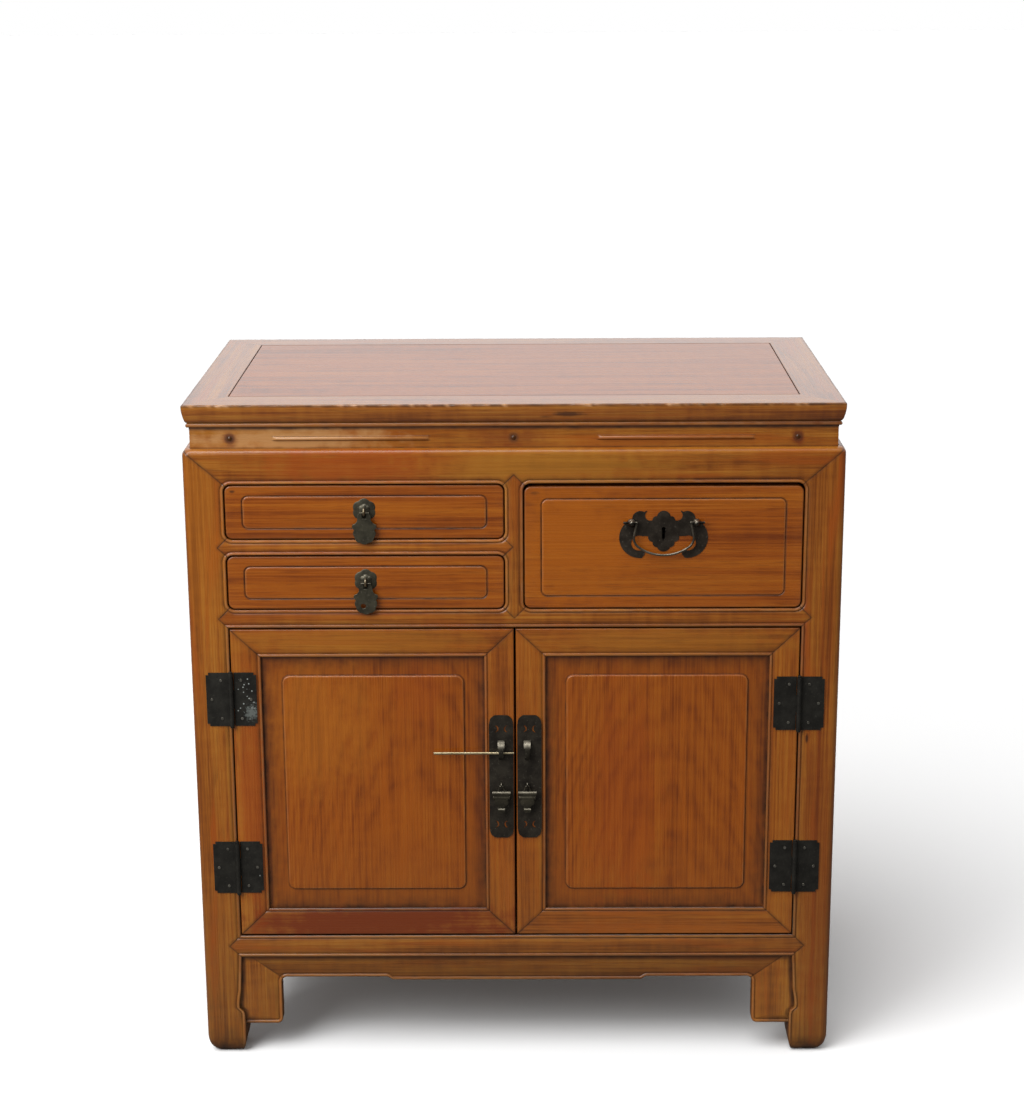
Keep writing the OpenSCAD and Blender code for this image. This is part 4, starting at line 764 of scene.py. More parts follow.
# Frame of the body

def rounded(x, z):
    """Depth of the front and the back: the body's inset, plus a quarter round by the distance
    from their upright edges."""
    e, i = half_w - np.abs(x), inset(z)
    return i + round_off(e - i, leg_round)


def drawn_in(s, z):
    """Depth of the sides, whose upright edges the front and the back round off."""
    return inset(z)


def worn_edge(x, z):
    """Wear along the front's upright edges, from 0 to 1."""
    e = half_w - np.abs(x) - inset(z)
    return np.interp(e, [0, 1.5, 4, 9], [0.12, 0.42, 0.3, 0]) * (z < z_top_rail)


def level_lines(half, levels):
    """Level lines right across a side, one at each height."""
    return [path((-half, z), (half, z)) for z in levels]


def round_lines():
    """Upright lines that carry the rounding of the long edges."""
    lines = []
    for e in leg_round * (1 - np.cos(np.radians(np.arange(11.25, 91, 11.25)))):
        lines += both(np.stack([-half_w + inset(leg_levels) + e, leg_levels], 1))
    return lines


def beaded(openings, half, joints, base, wear, more_lines=()):
    """Face of the frame with a bead round its openings and with its joints. half is half the
    distance between the legs, base the depth without bead and joints, and wear one more mask of
    dirt."""
    def depth(s, z):
        """The base, plus the bead's section at the distance from the nearest opening, which
        fades out in the feet, plus the V of the joints."""
        fade = np.clip((z - foot_round_h * 0.3) / foot_round_h, 0, 1)
        return (base(s, z) + bead(nearest(openings, half, s, z)) * fade
                + SEAM_DEPTH * seam(distance_to(joints, s, z)))

    def masks(s, z):
        """The most of dirt and painted shade by the bead, dirt by the floor and the joints, and wear; the
        bead's rubbed crown with a painted highlight; the joints.
        """
        d, joint = nearest(openings, half, s, z), distance_to(joints, s, z)
        return np.maximum.reduce([grime(d), scuffs(z), smudge(joint), wear(s, z)]), crest(d), seam(joint)

    lines = ([ring(o, e) for o in openings for e in RINGS] + foot_rings(half) + beside(joints)
             + level_lines(half + leg_w, edge_levels))
    return Face(lines + list(more_lines), depth, masks)


front_face = beaded([upper_open, lower_open, large_open, door_open], inner, front_joints, rounded, worn_edge,
                    round_lines())
side_face = beaded([side_high, side_low], side_inner, side_joints, drawn_in, even(0.0))
back_face = Face(level_lines(half_w, edge_levels) + round_lines(), rounded, no_masks)


def behind_front(x, z):
    """Back of a front board: the diagonal plane of the corner, as far in as the leg is wide."""
    e, i = half_w - np.abs(x), inset(z)
    return np.minimum(i + leg_round + (e - i) * (leg_w - leg_round) / leg_w, leg_width(z))


def behind_side(s, z):
    """Back of a side board, by the same diagonal plane."""
    e, i = half_d - np.abs(s), inset(z)
    return np.minimum(i + (e - leg_round - i) * leg_w / (leg_w - leg_round), leg_width(z))


def leg(solid, x_side, y_side, openings):
    """One leg: a board of its front or back and a board of its outer side, met on a diagonal."""
    side, face = (FRONT, front_face) if y_side < 0 else (BACK, back_face)
    crossed = x_side * y_side < 0
    outline = leg_outline(0, openings) - [half_w, 0]
    solid.carve(mirrored(outline) if crossed else outline, face, behind_front, side)
    outline = leg_outline(leg_round, [(z_draw, z_top_rail, 0), (z_door, z_mid, 0)]) - [half_d, 0]
    return solid.carve(outline if crossed else mirrored(outline), side_face, behind_side,
                       LEFT if x_side < 0 else RIGHT)


def rail_view(half, low, high, top_cuts=()):
    """A rail with pointed ends; top_cuts are runs of points along its upper edge."""
    tip = (high - low) / 2
    return path((-half - tip, low + tip), (-half, low), (half, low), (half + tip, low + tip),
                (half, high), *top_cuts, (-half, high))


def top_rail_view(low_edge, start, half):
    """A top rail: its lower edge from left to right, then its mitred ends and its rounded top."""
    edge = outer_edge(start)[-1]
    crown = top_levels[(top_levels > edge[1]) & (top_levels < z_body)]
    shoulder = path(edge, np.stack([start + inset(crown), crown], 1), (start + top_round, z_body)) - [half, 0]
    return path(low_edge, shoulder * [-1, 1], shoulder[::-1])


def corner(opening, start, end):
    """Part of the round corner of an opening that lies between two angles in degrees."""
    x0, x1, z0, z1, r = opening
    middle = math.radians((start + end) / 2)
    x = x1 - r if math.cos(middle) > 0 else x0 + r
    z = z1 - r if math.sin(middle) > 0 else z0 + r
    return arc((x, z), (r, r), start, end)


def body_frame():
    """Legs, rails and post, each cut out of the face of its side."""
    left = [(z_upper, z_top_rail, open_round), (z_draw, z_small, open_round), (z_door, z_mid, 0)]
    right = [(z_draw, z_top_rail, open_round), (z_door, z_mid, 0)]
    # Painted light: an amber pool at the top of the left leg, where the lamp falls.
    left_marks = [((-357, front, 650), (40, 60, 170), PAINTED_LIGHT_AMBER, 0.3)]
    right_marks = [((344, front, 409), (2.4, 30, 9), KNOT, 0.9),
                   # Painted shade: the dark mark over the right leg's lower half, away from the lamp.
                   ((365, front, 240), (60, 90, 260), DARK_STAIN_AND_SHADE, 0.35)]
    for x_side, word, seed, openings, marks in ((-1, "left", 1, left, left_marks),
                                                (1, "right", 4, right, right_marks)):
        material = wood(f"leg_{word}_wood", "Z", seed, clouds=0.5, streaks=1.3, marks=marks)
        leg(Solid(), x_side, -1, openings).make("carved_leg_" + word, material, ["leg_front_" + word])
    pair = leg(leg(Solid(), -1, 1, []), 1, 1, [])
    pair.make("rear_legs", wood("rear_leg_wood", "Z", 7), ["legs_back"])

    # Top rails, mitred to the legs and to each other
    low_edge = path((-inner, z_top_rail), corner(upper_open, 135, 90), corner(upper_open, 90, 45), post_head,
                    corner(large_open, 135, 90), corner(large_open, 90, 45), (inner, z_top_rail))
    plain_edge = path((-inner, z_top_rail), (inner, z_top_rail))
    side_edge = path((-side_inner, z_top_rail), (side_inner, z_top_rail))
    rails = Solid().carve(top_rail_view(low_edge, 0, half_w), front_face, behind_front, FRONT)
    rails.carve(top_rail_view(plain_edge, 0, half_w), back_face, behind_front, BACK)
    marks = [((-175, front, 742), (150, 60, 34), STAIN_RED, 0.6),
             ((40, front, 742), (180, 60, 34), STAIN_OLIVE, 0.6)]
    rails.make("top_rails_front_and_back", wood("top_rail_wood", "X", 2, marks=marks), ["top_rails_long"])
    ends = Solid().carve(top_rail_view(side_edge, leg_round, half_d), side_face, behind_side, LEFT, RIGHT)
    ends.make("top_rails_sides", wood("end_rail_wood", "Y", 5), ["top_rails_end"])

    # Rails and post of the front
    def front_rail(name, view, material, node):
        """A beaded board of the front, as thick as a rail."""
        Solid().carve(view, front_face, even(rail_t), FRONT).make(name, material, [node])

    across = wood("rail_wood", "X", 3, frame_wood(1.22))
    upright = wood("post_wood", "Z", 9)
    small_tip = (z_upper - z_small) / 2
    notch = path((-half_div, z_small), (-half_div + small_tip, z_small + small_tip), (-half_div, z_upper))
    post = path(post_foot[1:], corner(large_open, 225, 180), corner(large_open, 180, 135), post_head[::-1],
                corner(upper_open, 45, 0), corner(upper_open, 0, -45), notch[::-1],
                corner(lower_open, 45, 0), corner(lower_open, 0, -45), post_foot[0])
    front_rail("beaded_divider_post", post, upright, "divider_post")
    small = path((-inner - small_tip, z_small + small_tip), (-inner, z_small),
                 corner(lower_open, 135, 90), corner(lower_open, 90, 45), notch,
                 corner(upper_open, -45, -90), corner(upper_open, 270, 225), (-inner, z_upper))
    front_rail("beaded_small_rail", small, across, "small_drawer_rail")
    middle = rail_view(inner, z_mid, z_draw, [
        corner(large_open, -45, -90), corner(large_open, 270, 225), post_foot[::-1],
        corner(lower_open, -45, -90), corner(lower_open, 270, 225)])
    front_rail("beaded_middle_rail", middle, wood("middle_rail_wood", "X", 8), "middle_rail_front")
    front_rail("beaded_bottom_rail", rail_view(inner, z_rail, z_door), wood("bottom_rail_wood", "X", 6),
               "bottom_rail_front")

    # Rails of the sides, and the plain rails of the back
    for name, low, high in (("middle_rails_rear", z_mid, z_draw), ("bottom_rails_rear", z_rail, z_door)):
        carved = Solid().carve(rail_view(side_inner, low, high), side_face, even(rail_t), LEFT, RIGHT)
        carved.make("carved_" + name, wood(name + "_wood", "Y", low), [name])
        plain_rail(name, (-inner, inner, low, high, 0), high)


def plain_rail(name, box, seed):
    """A square rail of the back with its arrises eased."""
    def depth(s, z):
        """A quarter round by the distance from the edge."""
        return round_off(-reach(box, s, z), 1.2)

    face = Face(rings(box, (0.2, 0.6, 1.2)), depth, no_masks)
    rail = Solid().carve(ring(box)[:-1], face, even(rail_t), BACK)
    rail.make("plain_" + name, wood(f"plain_{name}_wood", "X", seed))


def apron_drop_line(base, drop):
    """The step down to the lower middle of an apron, on its left: half a cosine wave."""
    share = np.linspace(0, 1, 11)
    z = base - drop * (1 - np.cos(np.pi * share)) / 2
    return np.stack([-apron_drop_half - apron_step * (1 - share), z], 1)


def apron_edge(half, drop, out=0.0):
    """Lower edge of an apron and its spandrels from left to right, drawn in by a distance."""
    z0, run, r = z_rail - apron_h, half - spandrel_w, apron_r
    inside = (arc((-run - r, spandrel_clear + r), (r - out, r - out), -90, 0) if out < r
              else (-run - out, spandrel_clear + out))
    outside = arc((-run + r, z0 - r), (r + out, r + out), 180, 90)
    left = path((-half - 5, spandrel_clear + out), inside, outside)
    if drop:
        left = path(left, apron_drop_line(z0 + out, drop))
    return path(left, mirrored(left))


def aprons():
    """Aprons under the front and the ends, and the spandrels between them and the legs."""
    z0, r = z_rail - apron_h, apron_r
    behind = even(apron_inset + apron_t)
    spandrels = Solid()
    for half, drop, sides, name, node, along in (
            (inner, apron_drop, (FRONT,), "carved_apron", "apron_front", "X"),
            (side_inner, 0, (LEFT, RIGHT), "carved_side_aprons", "side_aprons", "Y")):
        run = half - spandrel_w
        edge = [apron_edge(half, drop)]
        joints = both(path((-half + mitre_in, z_rail), arc((-run + r, z0 - r), (r, r), 135, 135, 1)[0]))

        def depth(s, z, edge=edge, joints=joints):
            """The bead's section at the distance from the lower edge, plus the V of the joints."""
            return apron_inset + bead(distance_to(edge, s, z)) + SEAM_DEPTH * seam(distance_to(joints, s, z))

        def masks(s, z, half=half, edge=edge, joints=joints):
            """Dirt and painted shade beside the bead, painted shade under the rail and beside the legs;
            rubbed crown with a painted highlight; joints.
            """
            d = distance_to(edge, s, z)
            # Painted shade: darker under the rail and beside the legs.
            from_leg = np.where(z < z_rail, foot_edge(half, z) - np.abs(s), 9)
            shaded = np.maximum(np.interp(z_rail - z, [0, 4, 9], [0.9, 0.6, 0]),
                                np.interp(from_leg, [0, 3, 6], [0.95, 0.8, 0]))
            return np.maximum(grime(d), shaded), crest(d), seam(distance_to(joints, s, z))

        z = leg_levels[(leg_levels <= z_rail) & (leg_levels >= swell_low)]
        lines = [apron_edge(half, drop, e) for e in RINGS[RINGS < 6.5]] + beside(joints)
        lines += level_lines(half, [z_rail - 9, z_rail - 4, z_rail - 0.5])
        for e in (3, 6):
            lines += both(np.stack([-half - leg_w + leg_width(z) + e, z], 1))
        face = Face(lines, depth, masks)
        step = apron_drop_line(z0, drop) if drop else (-run + 2 * r, z0)
        low = path(arc((-run + r, z0 - r), (r, r), 135, 90), step)
        view = path((-half + mitre_in, z_rail), low, mirrored(low), (half - mitre_in, z_rail))
        apron = Solid().carve(view, face, behind, *sides)
        apron.make(name, wood(name + "_wood", along, half, frame_wood(0.8)), [node])
        beside_leg = path((-half - leg_w + leg_width(spandrel_clear), spandrel_clear),
                          np.stack([-half - leg_w + leg_width(z), z], 1))
        spandrel = path((-half + mitre_in, z_rail), beside_leg[::-1],
                        arc((-run - r, spandrel_clear + r), (r, r), -90, 0),
                        arc((-run + r, z0 - r), (r, r), 180, 135))
        for side in sides:
            for view in both(spandrel):
                spandrels.carve(view, face, behind, side)
    spandrels.make("carved_spandrels", wood("spandrel_wood", "Z", 17, frame_wood(1.15)), ["spandrels"])


def mitred(half):
    """Back of a waist board of half that length, which ends in mitres."""
    def behind(s, z):
        return waist_inset + np.minimum(half - np.abs(s), waist_t)
    return behind


def waist():
    """Boards of the waist; the front one carries two half-round strips."""
    half = half_w - waist_inset
    peg_z = (z_body + z_waist) / 2
    peg_rings = (2.4, 3.4, 5, 7.5)

    def depth(x, z):
        """The inset less the height of a half circle over each strip's middle line, which runs
        out over 5 mm at both ends."""
        run = strip_l / 2 - np.abs(np.abs(x) - strip_x)
        across = np.clip(1 - (z - peg_z) ** 2 / strip_r ** 2, 0, 1)
        return waist_inset - strip_r * np.sqrt(across) * np.clip(run / 5, 0, 1)

    def masks(x, z):
        """Dirt and painted shade beside the strips, dark round the pegs, darker at both edges; the strips'
        rubbed crown with a painted highlight.
        """
        run = strip_l / 2 - np.abs(np.abs(x) - strip_x)
        gap = np.abs(z - peg_z)
        # Painted shade beside the strips, which stand proud of the board.
        near = np.interp(gap, [strip_r - 0.4, strip_r, strip_r + 1.2], [0, 0.7, 0])
        near = near * np.clip(1 + run / 2, 0, 1)
        peg = np.minimum.reduce([np.hypot(x - p, z - peg_z) for p in (-peg_x, 0, peg_x)])
        edge = np.minimum(z - z_body, z_waist - z)
        dirt_and_shade = np.maximum.reduce([near, np.interp(peg, [2.4, 3.4, 7.5], [1, 0.85, 0]),
                                  np.clip(1 - edge / 2.5, 0, 1) * 0.8])
        return dirt_and_shade, np.where(run > 0, np.interp(gap, [0.8, 1.8], [0.8, 0]), 0), np.zeros_like(x)

    rows = peg_z + strip_r * np.sin(np.radians(np.arange(-90, 91, 15)))
    rows = np.concatenate([rows, [rows[0] - 1.2, rows[-1] + 1.2, z_body + 2.5, z_waist - 2.5]])
    lines = level_lines(half, rows)
    for side in (-1, 1):
        for run in (-2.1, -0.2, 0, 2.5, 5):
            for end in (-1, 1):
                x = side * strip_x + end * (strip_l / 2 - run)
                lines.append(path((x, z_body), (x, z_waist)))
        lines += [arc((side * peg_x, peg_z), (e, e), 0, 360, 16) for e in peg_rings]
    lines += [arc((0, peg_z), (e, e), 0, 360, 16) for e in peg_rings]
    plain = Face([], even(waist_inset), no_masks)
    box = ring((-half, half, z_body, z_waist, 0))[:-1]
    long_boards = Solid().carve(box, Face(lines, depth, masks), mitred(half), FRONT)
    long_boards.carve(box, plain, mitred(half), BACK)
    y, z = front + waist_inset, peg_z - 0.5
    marks = [((-260, y, z), (150, 30, 24), STAIN_PALE, 0.85), ((0, y, z), (60, 30, 16), DARK_STAIN_AND_SHADE, 0.55),
             ((-peg_x, y, z), (11, 30, 14), DARK_STAIN_AND_SHADE, 0.8), ((peg_x, y, z), (11, 30, 14), DARK_STAIN_AND_SHADE, 0.8)]
    long_boards.make("waist_front_and_back", wood("waist_wood", "X", 12, marks=marks), ["waist_boards_long"])
    half = half_d - waist_inset
    ends = Solid().carve(ring((-half, half, z_body, z_waist, 0))[:-1], plain, mitred(half), LEFT, RIGHT)
    ends.make("waist_sides", wood("waist_end_wood", "Y", 13), ["waist_boards_end"])


# Top

def chips(x, seed, share):
    """Knocks along an edge: a seeded chain of values from 0 to 1, mostly 0."""
    rng = np.random.default_rng(seed)
    knots = np.arange(-400, 401, 3.0)
    return np.clip(np.interp(x, knots, rng.random(len(knots)) ** 2) * 1.8 - (1 - share), 0, 1)


def top_profile():
    """Edge of the top frame as (distance in, depth below the top): a fascia falling inwards,
    a bead under it and a hollow above the waist."""
    low, lip = 24.5, waist_inset - top_set_in
    return path((6, 0), (3.5, -0.05), arc((1.6, -1.6), (1.6, 1.6), 90, 180, 6), (0, -4), (0.25, -7),
                (0.95, -11), (1.9, -15), (2.9, -18.2), (3.9, -20.2), (4.9, -21.2), (5.8, -21.7),
                arc((6.4, -low), (2.3, 2.5), 100, 260, 10), (lip, -low - 2.6), (lip, -top_t))


def top_member(solid, side_of, half_out, width, half_in, seed, worn):
    """One mitred member: the edge profile carried along its length. side_of(s, inward, z)
    places a point; the ends run along the mitre from the outer to the inner corner."""
    section = path(top_profile(), (width, -top_t), (width, 0), (width - 1.5, 0))
    ends = np.array([0, 0.3, 0.9])
    u = np.linspace(-1, 1, int(half_out / 2.5))
    rows = []
    for a, z in section:
        reach_s = half_out - a * (half_out - half_in) / width
        s = np.concatenate([-reach_s + ends[:2], u * (reach_s - ends[2]), reach_s - ends[:2][::-1]])
        knock = chips(s, seed, worn) * np.clip(1 - abs(a - 0.4) / 1.6, 0, 1) * np.clip(1 - abs(z) / 2.5, 0, 1)
        rows.append(np.stack([s, np.full_like(s, a) + knock * 0.9, np.full_like(s, z) - knock * 0.7, knock]))
    s, a, z, knock = np.array(rows).transpose(1, 0, 2)
    joint = np.zeros(s.shape)
    joint[:, [0, -1]] = 1
    joint[:, [1, -2]] = 0.5
    # Painted shadow in the groove over the bead and under the bead, down to the waist.
    under = np.interp(-z, [19, 21.3, 22.2, 24, 26, 27.2, 29], [0, 0.9, 0.6, 0, 0.3, 0.9, 1.0])
    dirt_and_shade = np.where(z < -3, under, 0)
    dirt_and_shade = np.where(a > width - 0.5, 0.6, dirt_and_shade)
    dirt_and_shade = np.maximum(dirt_and_shade, knock * 0.8)
    # Painted highlight along the bead; the rim of the top lighter, rubbed.
    rub_and_highlight = np.where((z < -22) & (z > -26), 0.8, 0) + np.where((z > -3) & (a < 4), 0.25, 0)
    arris = (a < 2.6) & (z > -2.6)
    bare = chips(s, seed + 40, 0.3)
    dirt_and_shade = np.where(arris, (0.7 + 0.3 * chips(s, seed + 20, 0.6)) * (1 - bare), dirt_and_shade)
    rub_and_highlight = np.where(arris, 4 * bare, rub_and_highlight)
    masks = np.stack([dirt_and_shade, rub_and_highlight, joint], -1)
    solid.grid(side_of(s, a, z).transpose(1, 0, 2), masks.transpose(1, 0, 2))


def top():
    """The top's frame, mitred at its corners, and the flush panel inside it."""
    half = half_w - top_set_in
    y0, y1 = front + top_set_in, back - top_set_in
    in_x = half - top_end_w
    end_half = (y1 - y0) / 2
    in_y = end_half - (top_front_w + top_back_w) / 2

    def at_front(s, a, z):
        """Places the front member, whose inward way is backwards."""
        return np.stack([s, y0 + a, total_h + z], -1)

    def at_rear(s, a, z):
        """Places the back member, turned round."""
        return np.stack([-s, y1 - a, total_h + z], -1)

    def at_end(x_side):
        """Places an end member, whose mitres differ because the front member is the wider."""
        def put(s, a, z):
            """s runs from mitre to mitre, shared out over the length left at distance a in."""
            share = a / top_end_w
            low = y0 + share * top_front_w
            high = y1 - share * top_back_w
            t = s / (end_half - share * (end_half - in_y))
            y = (low + high) / 2 + x_side * t * (high - low) / 2
            return np.stack([x_side * (half - a), y, total_h + z], -1)
        return put

    marks = [((62, front, 800), (26, 12, 4), KNOT, 0.75), ((38, front, 797), (12, 12, 2), KNOT, 0.6)]
    for name, node, material, along, seed, spots, runs in (
            ("top_frame_front_edge", "top_frame_front", "top_front_wood", "X", 21, marks,
             [(at_front, half, top_front_w, in_x, 3, 0.42)]),
            ("top_frame_rear_edge", "top_frame_back", "top_rear_wood", "X", 22, (),
             [(at_rear, half, top_back_w, in_x, 5, 0.2)]),
            ("top_frame_side_edges", "top_frame_ends", "top_end_wood", "Y", 23, (),
             [(at_end(x_side), end_half, top_end_w, in_y, 8 + x_side, 0.25) for x_side in (-1, 1)])):
        member = Solid()
        for run in runs:
            top_member(member, *run)
        look = wood(material, along, seed, coat=0.6, darken_low=False, marks=spots)
        member.make(name, look, [node], slot="top_wood")

    box = (-in_x + panel_seam, in_x - panel_seam,
           y0 + top_front_w + panel_seam, y1 - top_back_w - panel_seam, 0)

    def depth(x, y):
        """A flattened quarter round by the distance from the board's edge."""
        return round_off(-reach(box, x, y), 1.0) * 0.7

    def masks(x, y):
        """Dirt in the seam round the board."""
        return np.clip(1 + reach(box, x, y) / 0.9, 0, 1) * 0.8, np.zeros_like(x), np.zeros_like(x)

    face = Face(rings(box, (0.15, 0.5, 1.0, 3)), depth, masks)
    board = Solid().carve(ring(box)[:-1], face, even(top_panel_t), TOP)
    board.make("flush_top_panel", wood("top_panel_wood", "X", 24, FRONT_WOOD, coat=0.36, darken_low=False),
               ["top_panel"], slot="top_wood")


# Doors and drawers

def narrowed(opening, x_margin, z_margin=None):
    """Left, right, low and high of an opening, moved inwards by a margin."""
    x0, x1, z0, z1, _ = opening
    z_margin = x_margin if z_margin is None else z_margin
    return x0 + x_margin, x1 - x_margin, z0 + z_margin, z1 - z_margin


def field_step(e):
    """Rise of a raised field from 0 to 1 at a distance in from its edge: a small round shoulder."""
    return np.interp(e, [-0.1, 0, 0.3, 0.6, 1.0, 1.5, 2.2], [0, 0.05, 0.52, 0.74, 0.89, 0.97, 1])


def door(side, x0, x1, seed, arch, marks=(), panel_marks=()):
    """A mitred frame with a bead round its panel, and a panel with a raised field."""
    body = side + "_door"
    outer = (x0, x1, door_low, door_high, 0)
    hole = (*narrowed(outer, stile_w, door_rail_h), 0)
    corners = ring(outer)[[2, 3, 0, 1]]
    insides = ring(hole)[[2, 3, 0, 1]]
    joints = [path(*ends) for ends in zip(corners, insides)]

    def depth(x, z):
        """The eased outer edge, plus the bead's section round the panel, plus the mitres' V."""
        return (door_inset + round_off(-reach(outer, x, z), 1.8) * 0.8 + bead(reach(hole, x, z))
                + SEAM_DEPTH * seam(distance_to(joints, x, z)))

    def masks(x, z):
        """Dirt and painted shade by the bead, darker at the outer edge, dirt by the mitres; rubbed crown with
        a painted highlight, and rubbed edge; mitres.
        """
        d, e, joint = reach(hole, x, z), -reach(outer, x, z), distance_to(joints, x, z)
        dirt_and_shade = np.maximum.reduce([grime(d), np.clip(1 - e / 0.7, 0, 1) * 0.7, smudge(joint)])
        return dirt_and_shade, np.maximum(crest(d), np.interp(e, [0.5, 1, 2], [0, 0.3, 0])), seam(joint)

    lines = [ring(hole, e) for e in RINGS] + rings(outer, (0.15, 0.5, 1.1, 1.8)) + beside(joints)
    face = Face(lines, depth, masks)
    (a, b, c, d), (ai, bi, ci, di) = corners, insides
    for word, along, grain_seed, views in (("stile", "Z", seed, (path(a, ai, di, d), path(b, c, ci, bi))),
                                           ("rail", "X", seed + 6, (path(a, b, bi, ai), path(d, di, ci, c)))):
        solid = Solid()
        for view in views:
            solid.carve(view, face, even(door_inset + door_t), FRONT)
        material = wood(f"{body}_{word}_wood", along, grain_seed, DOOR_WOOD, clouds=0.6, marks=marks)
        solid.make(f"{body}_frame_{word}s", material, [f"{body}_{word}s"], body, "front_wood")

    field = (*narrowed(hole, field_margin), 9)
    board = (*narrowed(hole, -tongue), 0)
    panel_y = door_inset + door_panel_inset

    def panel_depth(x, z):
        """The panel's face less the step of its raised field."""
        return panel_y - field_rise * field_step(-reach(field, x, z))

    def panel_masks(x, z):
        """Dirt and painted shade at the foot of the field, painted shade beside the frame; the field's rubbed
        edge with a painted highlight.
        """
        e, d = -reach(field, x, z), -reach(hole, x, z)
        # Painted shade on the sunk panel beside the frame, out to 24 mm.
        dirt_and_shade = np.maximum(np.interp(e, [-2.2, -0.5, 0, 0.4], [0.12, 0.8, 0.9, 0]),
                          (e < 0) * np.interp(d, [0, 1, 5, 16, 24], [1, 0.9, 0.56, 0.24, 0.14]))
        return dirt_and_shade, np.interp(e, [0.3, 0.8, 1.3, 2.2], [0, 1, 0.8, 0]), np.zeros_like(x)

    lines = rings(field, (-2.2, -0.6, 0, 0.3, 0.6, 1, 1.5, 2.2)) + rings(hole, (0, 1, 5, 16))
    face = Face(lines, panel_depth, panel_masks)
    panel = Solid().carve(ring(board)[:-1], face, even(panel_y + door_panel_t), FRONT)
    material = wood(body + "_panel_wood", "Z", seed + 2, FRONT_WOOD, lines=0.32, clouds=0.45, streaks=0.8,
                    arch=arch, marks=panel_marks)
    panel.make(body + "_raised_panel", material, [body + "_panel"], body, "front_wood")


def drawer(name, opening, top_gap, margin, seed, marks=(), hollow=None):
    """A drawer front with round corners and a raised field inside a fine groove. hollow is a
    hole for a lock's key, as an opening; a plate covers its edges."""
    gap, low, hollow_depth = 1.2, 1.0, 9.0
    x0, x1, z0, z1, r = opening
    edge = (x0 + gap, x1 - gap, z0 + low, z1 - top_gap, r - gap)
    field = (*narrowed(edge, drawer_field_side, margin), 7)
    groove_at = [-2.2, -0.9, -0.35, 0, 0.3, 0.8, 1.5, 2.6]
    groove_depths = [0, 0.08, 0.5, 0.95, 0.28, -0.2, -0.42, -0.5]

    def hollowed(x, z):
        """1 in the key's hole and 0 outside it."""
        return np.clip(-reach(hollow, x, z), 0, 1) if hollow else np.zeros_like(x)

    def depth(x, z):
        """The eased edge, plus the groove's section at the distance from the field's edge,
        plus the key's hole."""
        e, f = -reach(edge, x, z), -reach(field, x, z)
        groove = np.interp(f, groove_at, groove_depths)
        return drawer_inset + round_off(e, 2.2) * 0.7 + groove + hollow_depth * hollowed(x, z)

    def masks(x, z):
        """Dirt and painted shade at the edge and in the groove, painted shade in the key's hole; rubbed edges
        of front and field with painted highlights.
        """
        e, f = -reach(edge, x, z), -reach(field, x, z)
        dirt_and_shade = np.maximum.reduce([np.interp(e, [0, 0.5, 1.6], [0.9, 0.5, 0]),
                                  np.interp(f, [-2.2, -0.9, 0.3, 0.8], [0, 0.8, 0.9, 0]), hollowed(x, z)])
        rub_and_highlight = np.maximum(np.interp(f, [0.3, 0.9, 1.4, 2.4], [0, 0.9, 0.7, 0]),
                         np.interp(e, [0.4, 1.2, 2.4], [0, 0.6, 0]))
        # The key's hole is painted dark with the joints' colour, three times over, as painted shade.
        return dirt_and_shade, rub_and_highlight, hollowed(x, z) * 3

    lines = rings(edge, (0.1, 0.35, 0.8, 1.4, 2.2)) + (rings(hollow, (0, 1)) if hollow else [])
    face = Face(lines + rings(field, groove_at), depth, masks)
    material = wood(name + "_wood", "X", seed, FRONT_WOOD, clouds=0.35, streaks=0.6, marks=marks)
    board = Solid().carve(ring(edge)[:-1], face, even(drawer_inset + drawer_front_t), FRONT)
    board.make(name + "_raised_front", material, [name + "_front"], name, "front_wood")


# Hardware

def eased(node, width, material):
    """A CAD piece with its arrises eased: a merged copy of its mesh under a Bevel."""
    source = frame["nodes"][node]
    mesh = source.data.copy()
    merge(mesh, coplanar=True)
    mesh.materials.clear()
    mesh.materials.append(material)
    mesh.shade_smooth()
    piece = linked(node + "_finished", mesh)
    sharp = math.radians(40)
    if width:
        bevel = piece.modifiers.new("eased", "BEVEL")
        bevel.width, bevel.segments, bevel.limit_method = width * MM, 2, "ANGLE"
        bevel.angle_limit = sharp
        bevel.harden_normals = True
    mesh.set_sharp_from_angle(angle=sharp)
    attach(piece, source["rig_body"])
    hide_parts(node)


def dress(node, material):
    """A CAD piece whose shape is right gets its finish."""
    slots = frame["nodes"][node].data.materials
    slots.clear()
    slots.append(material)


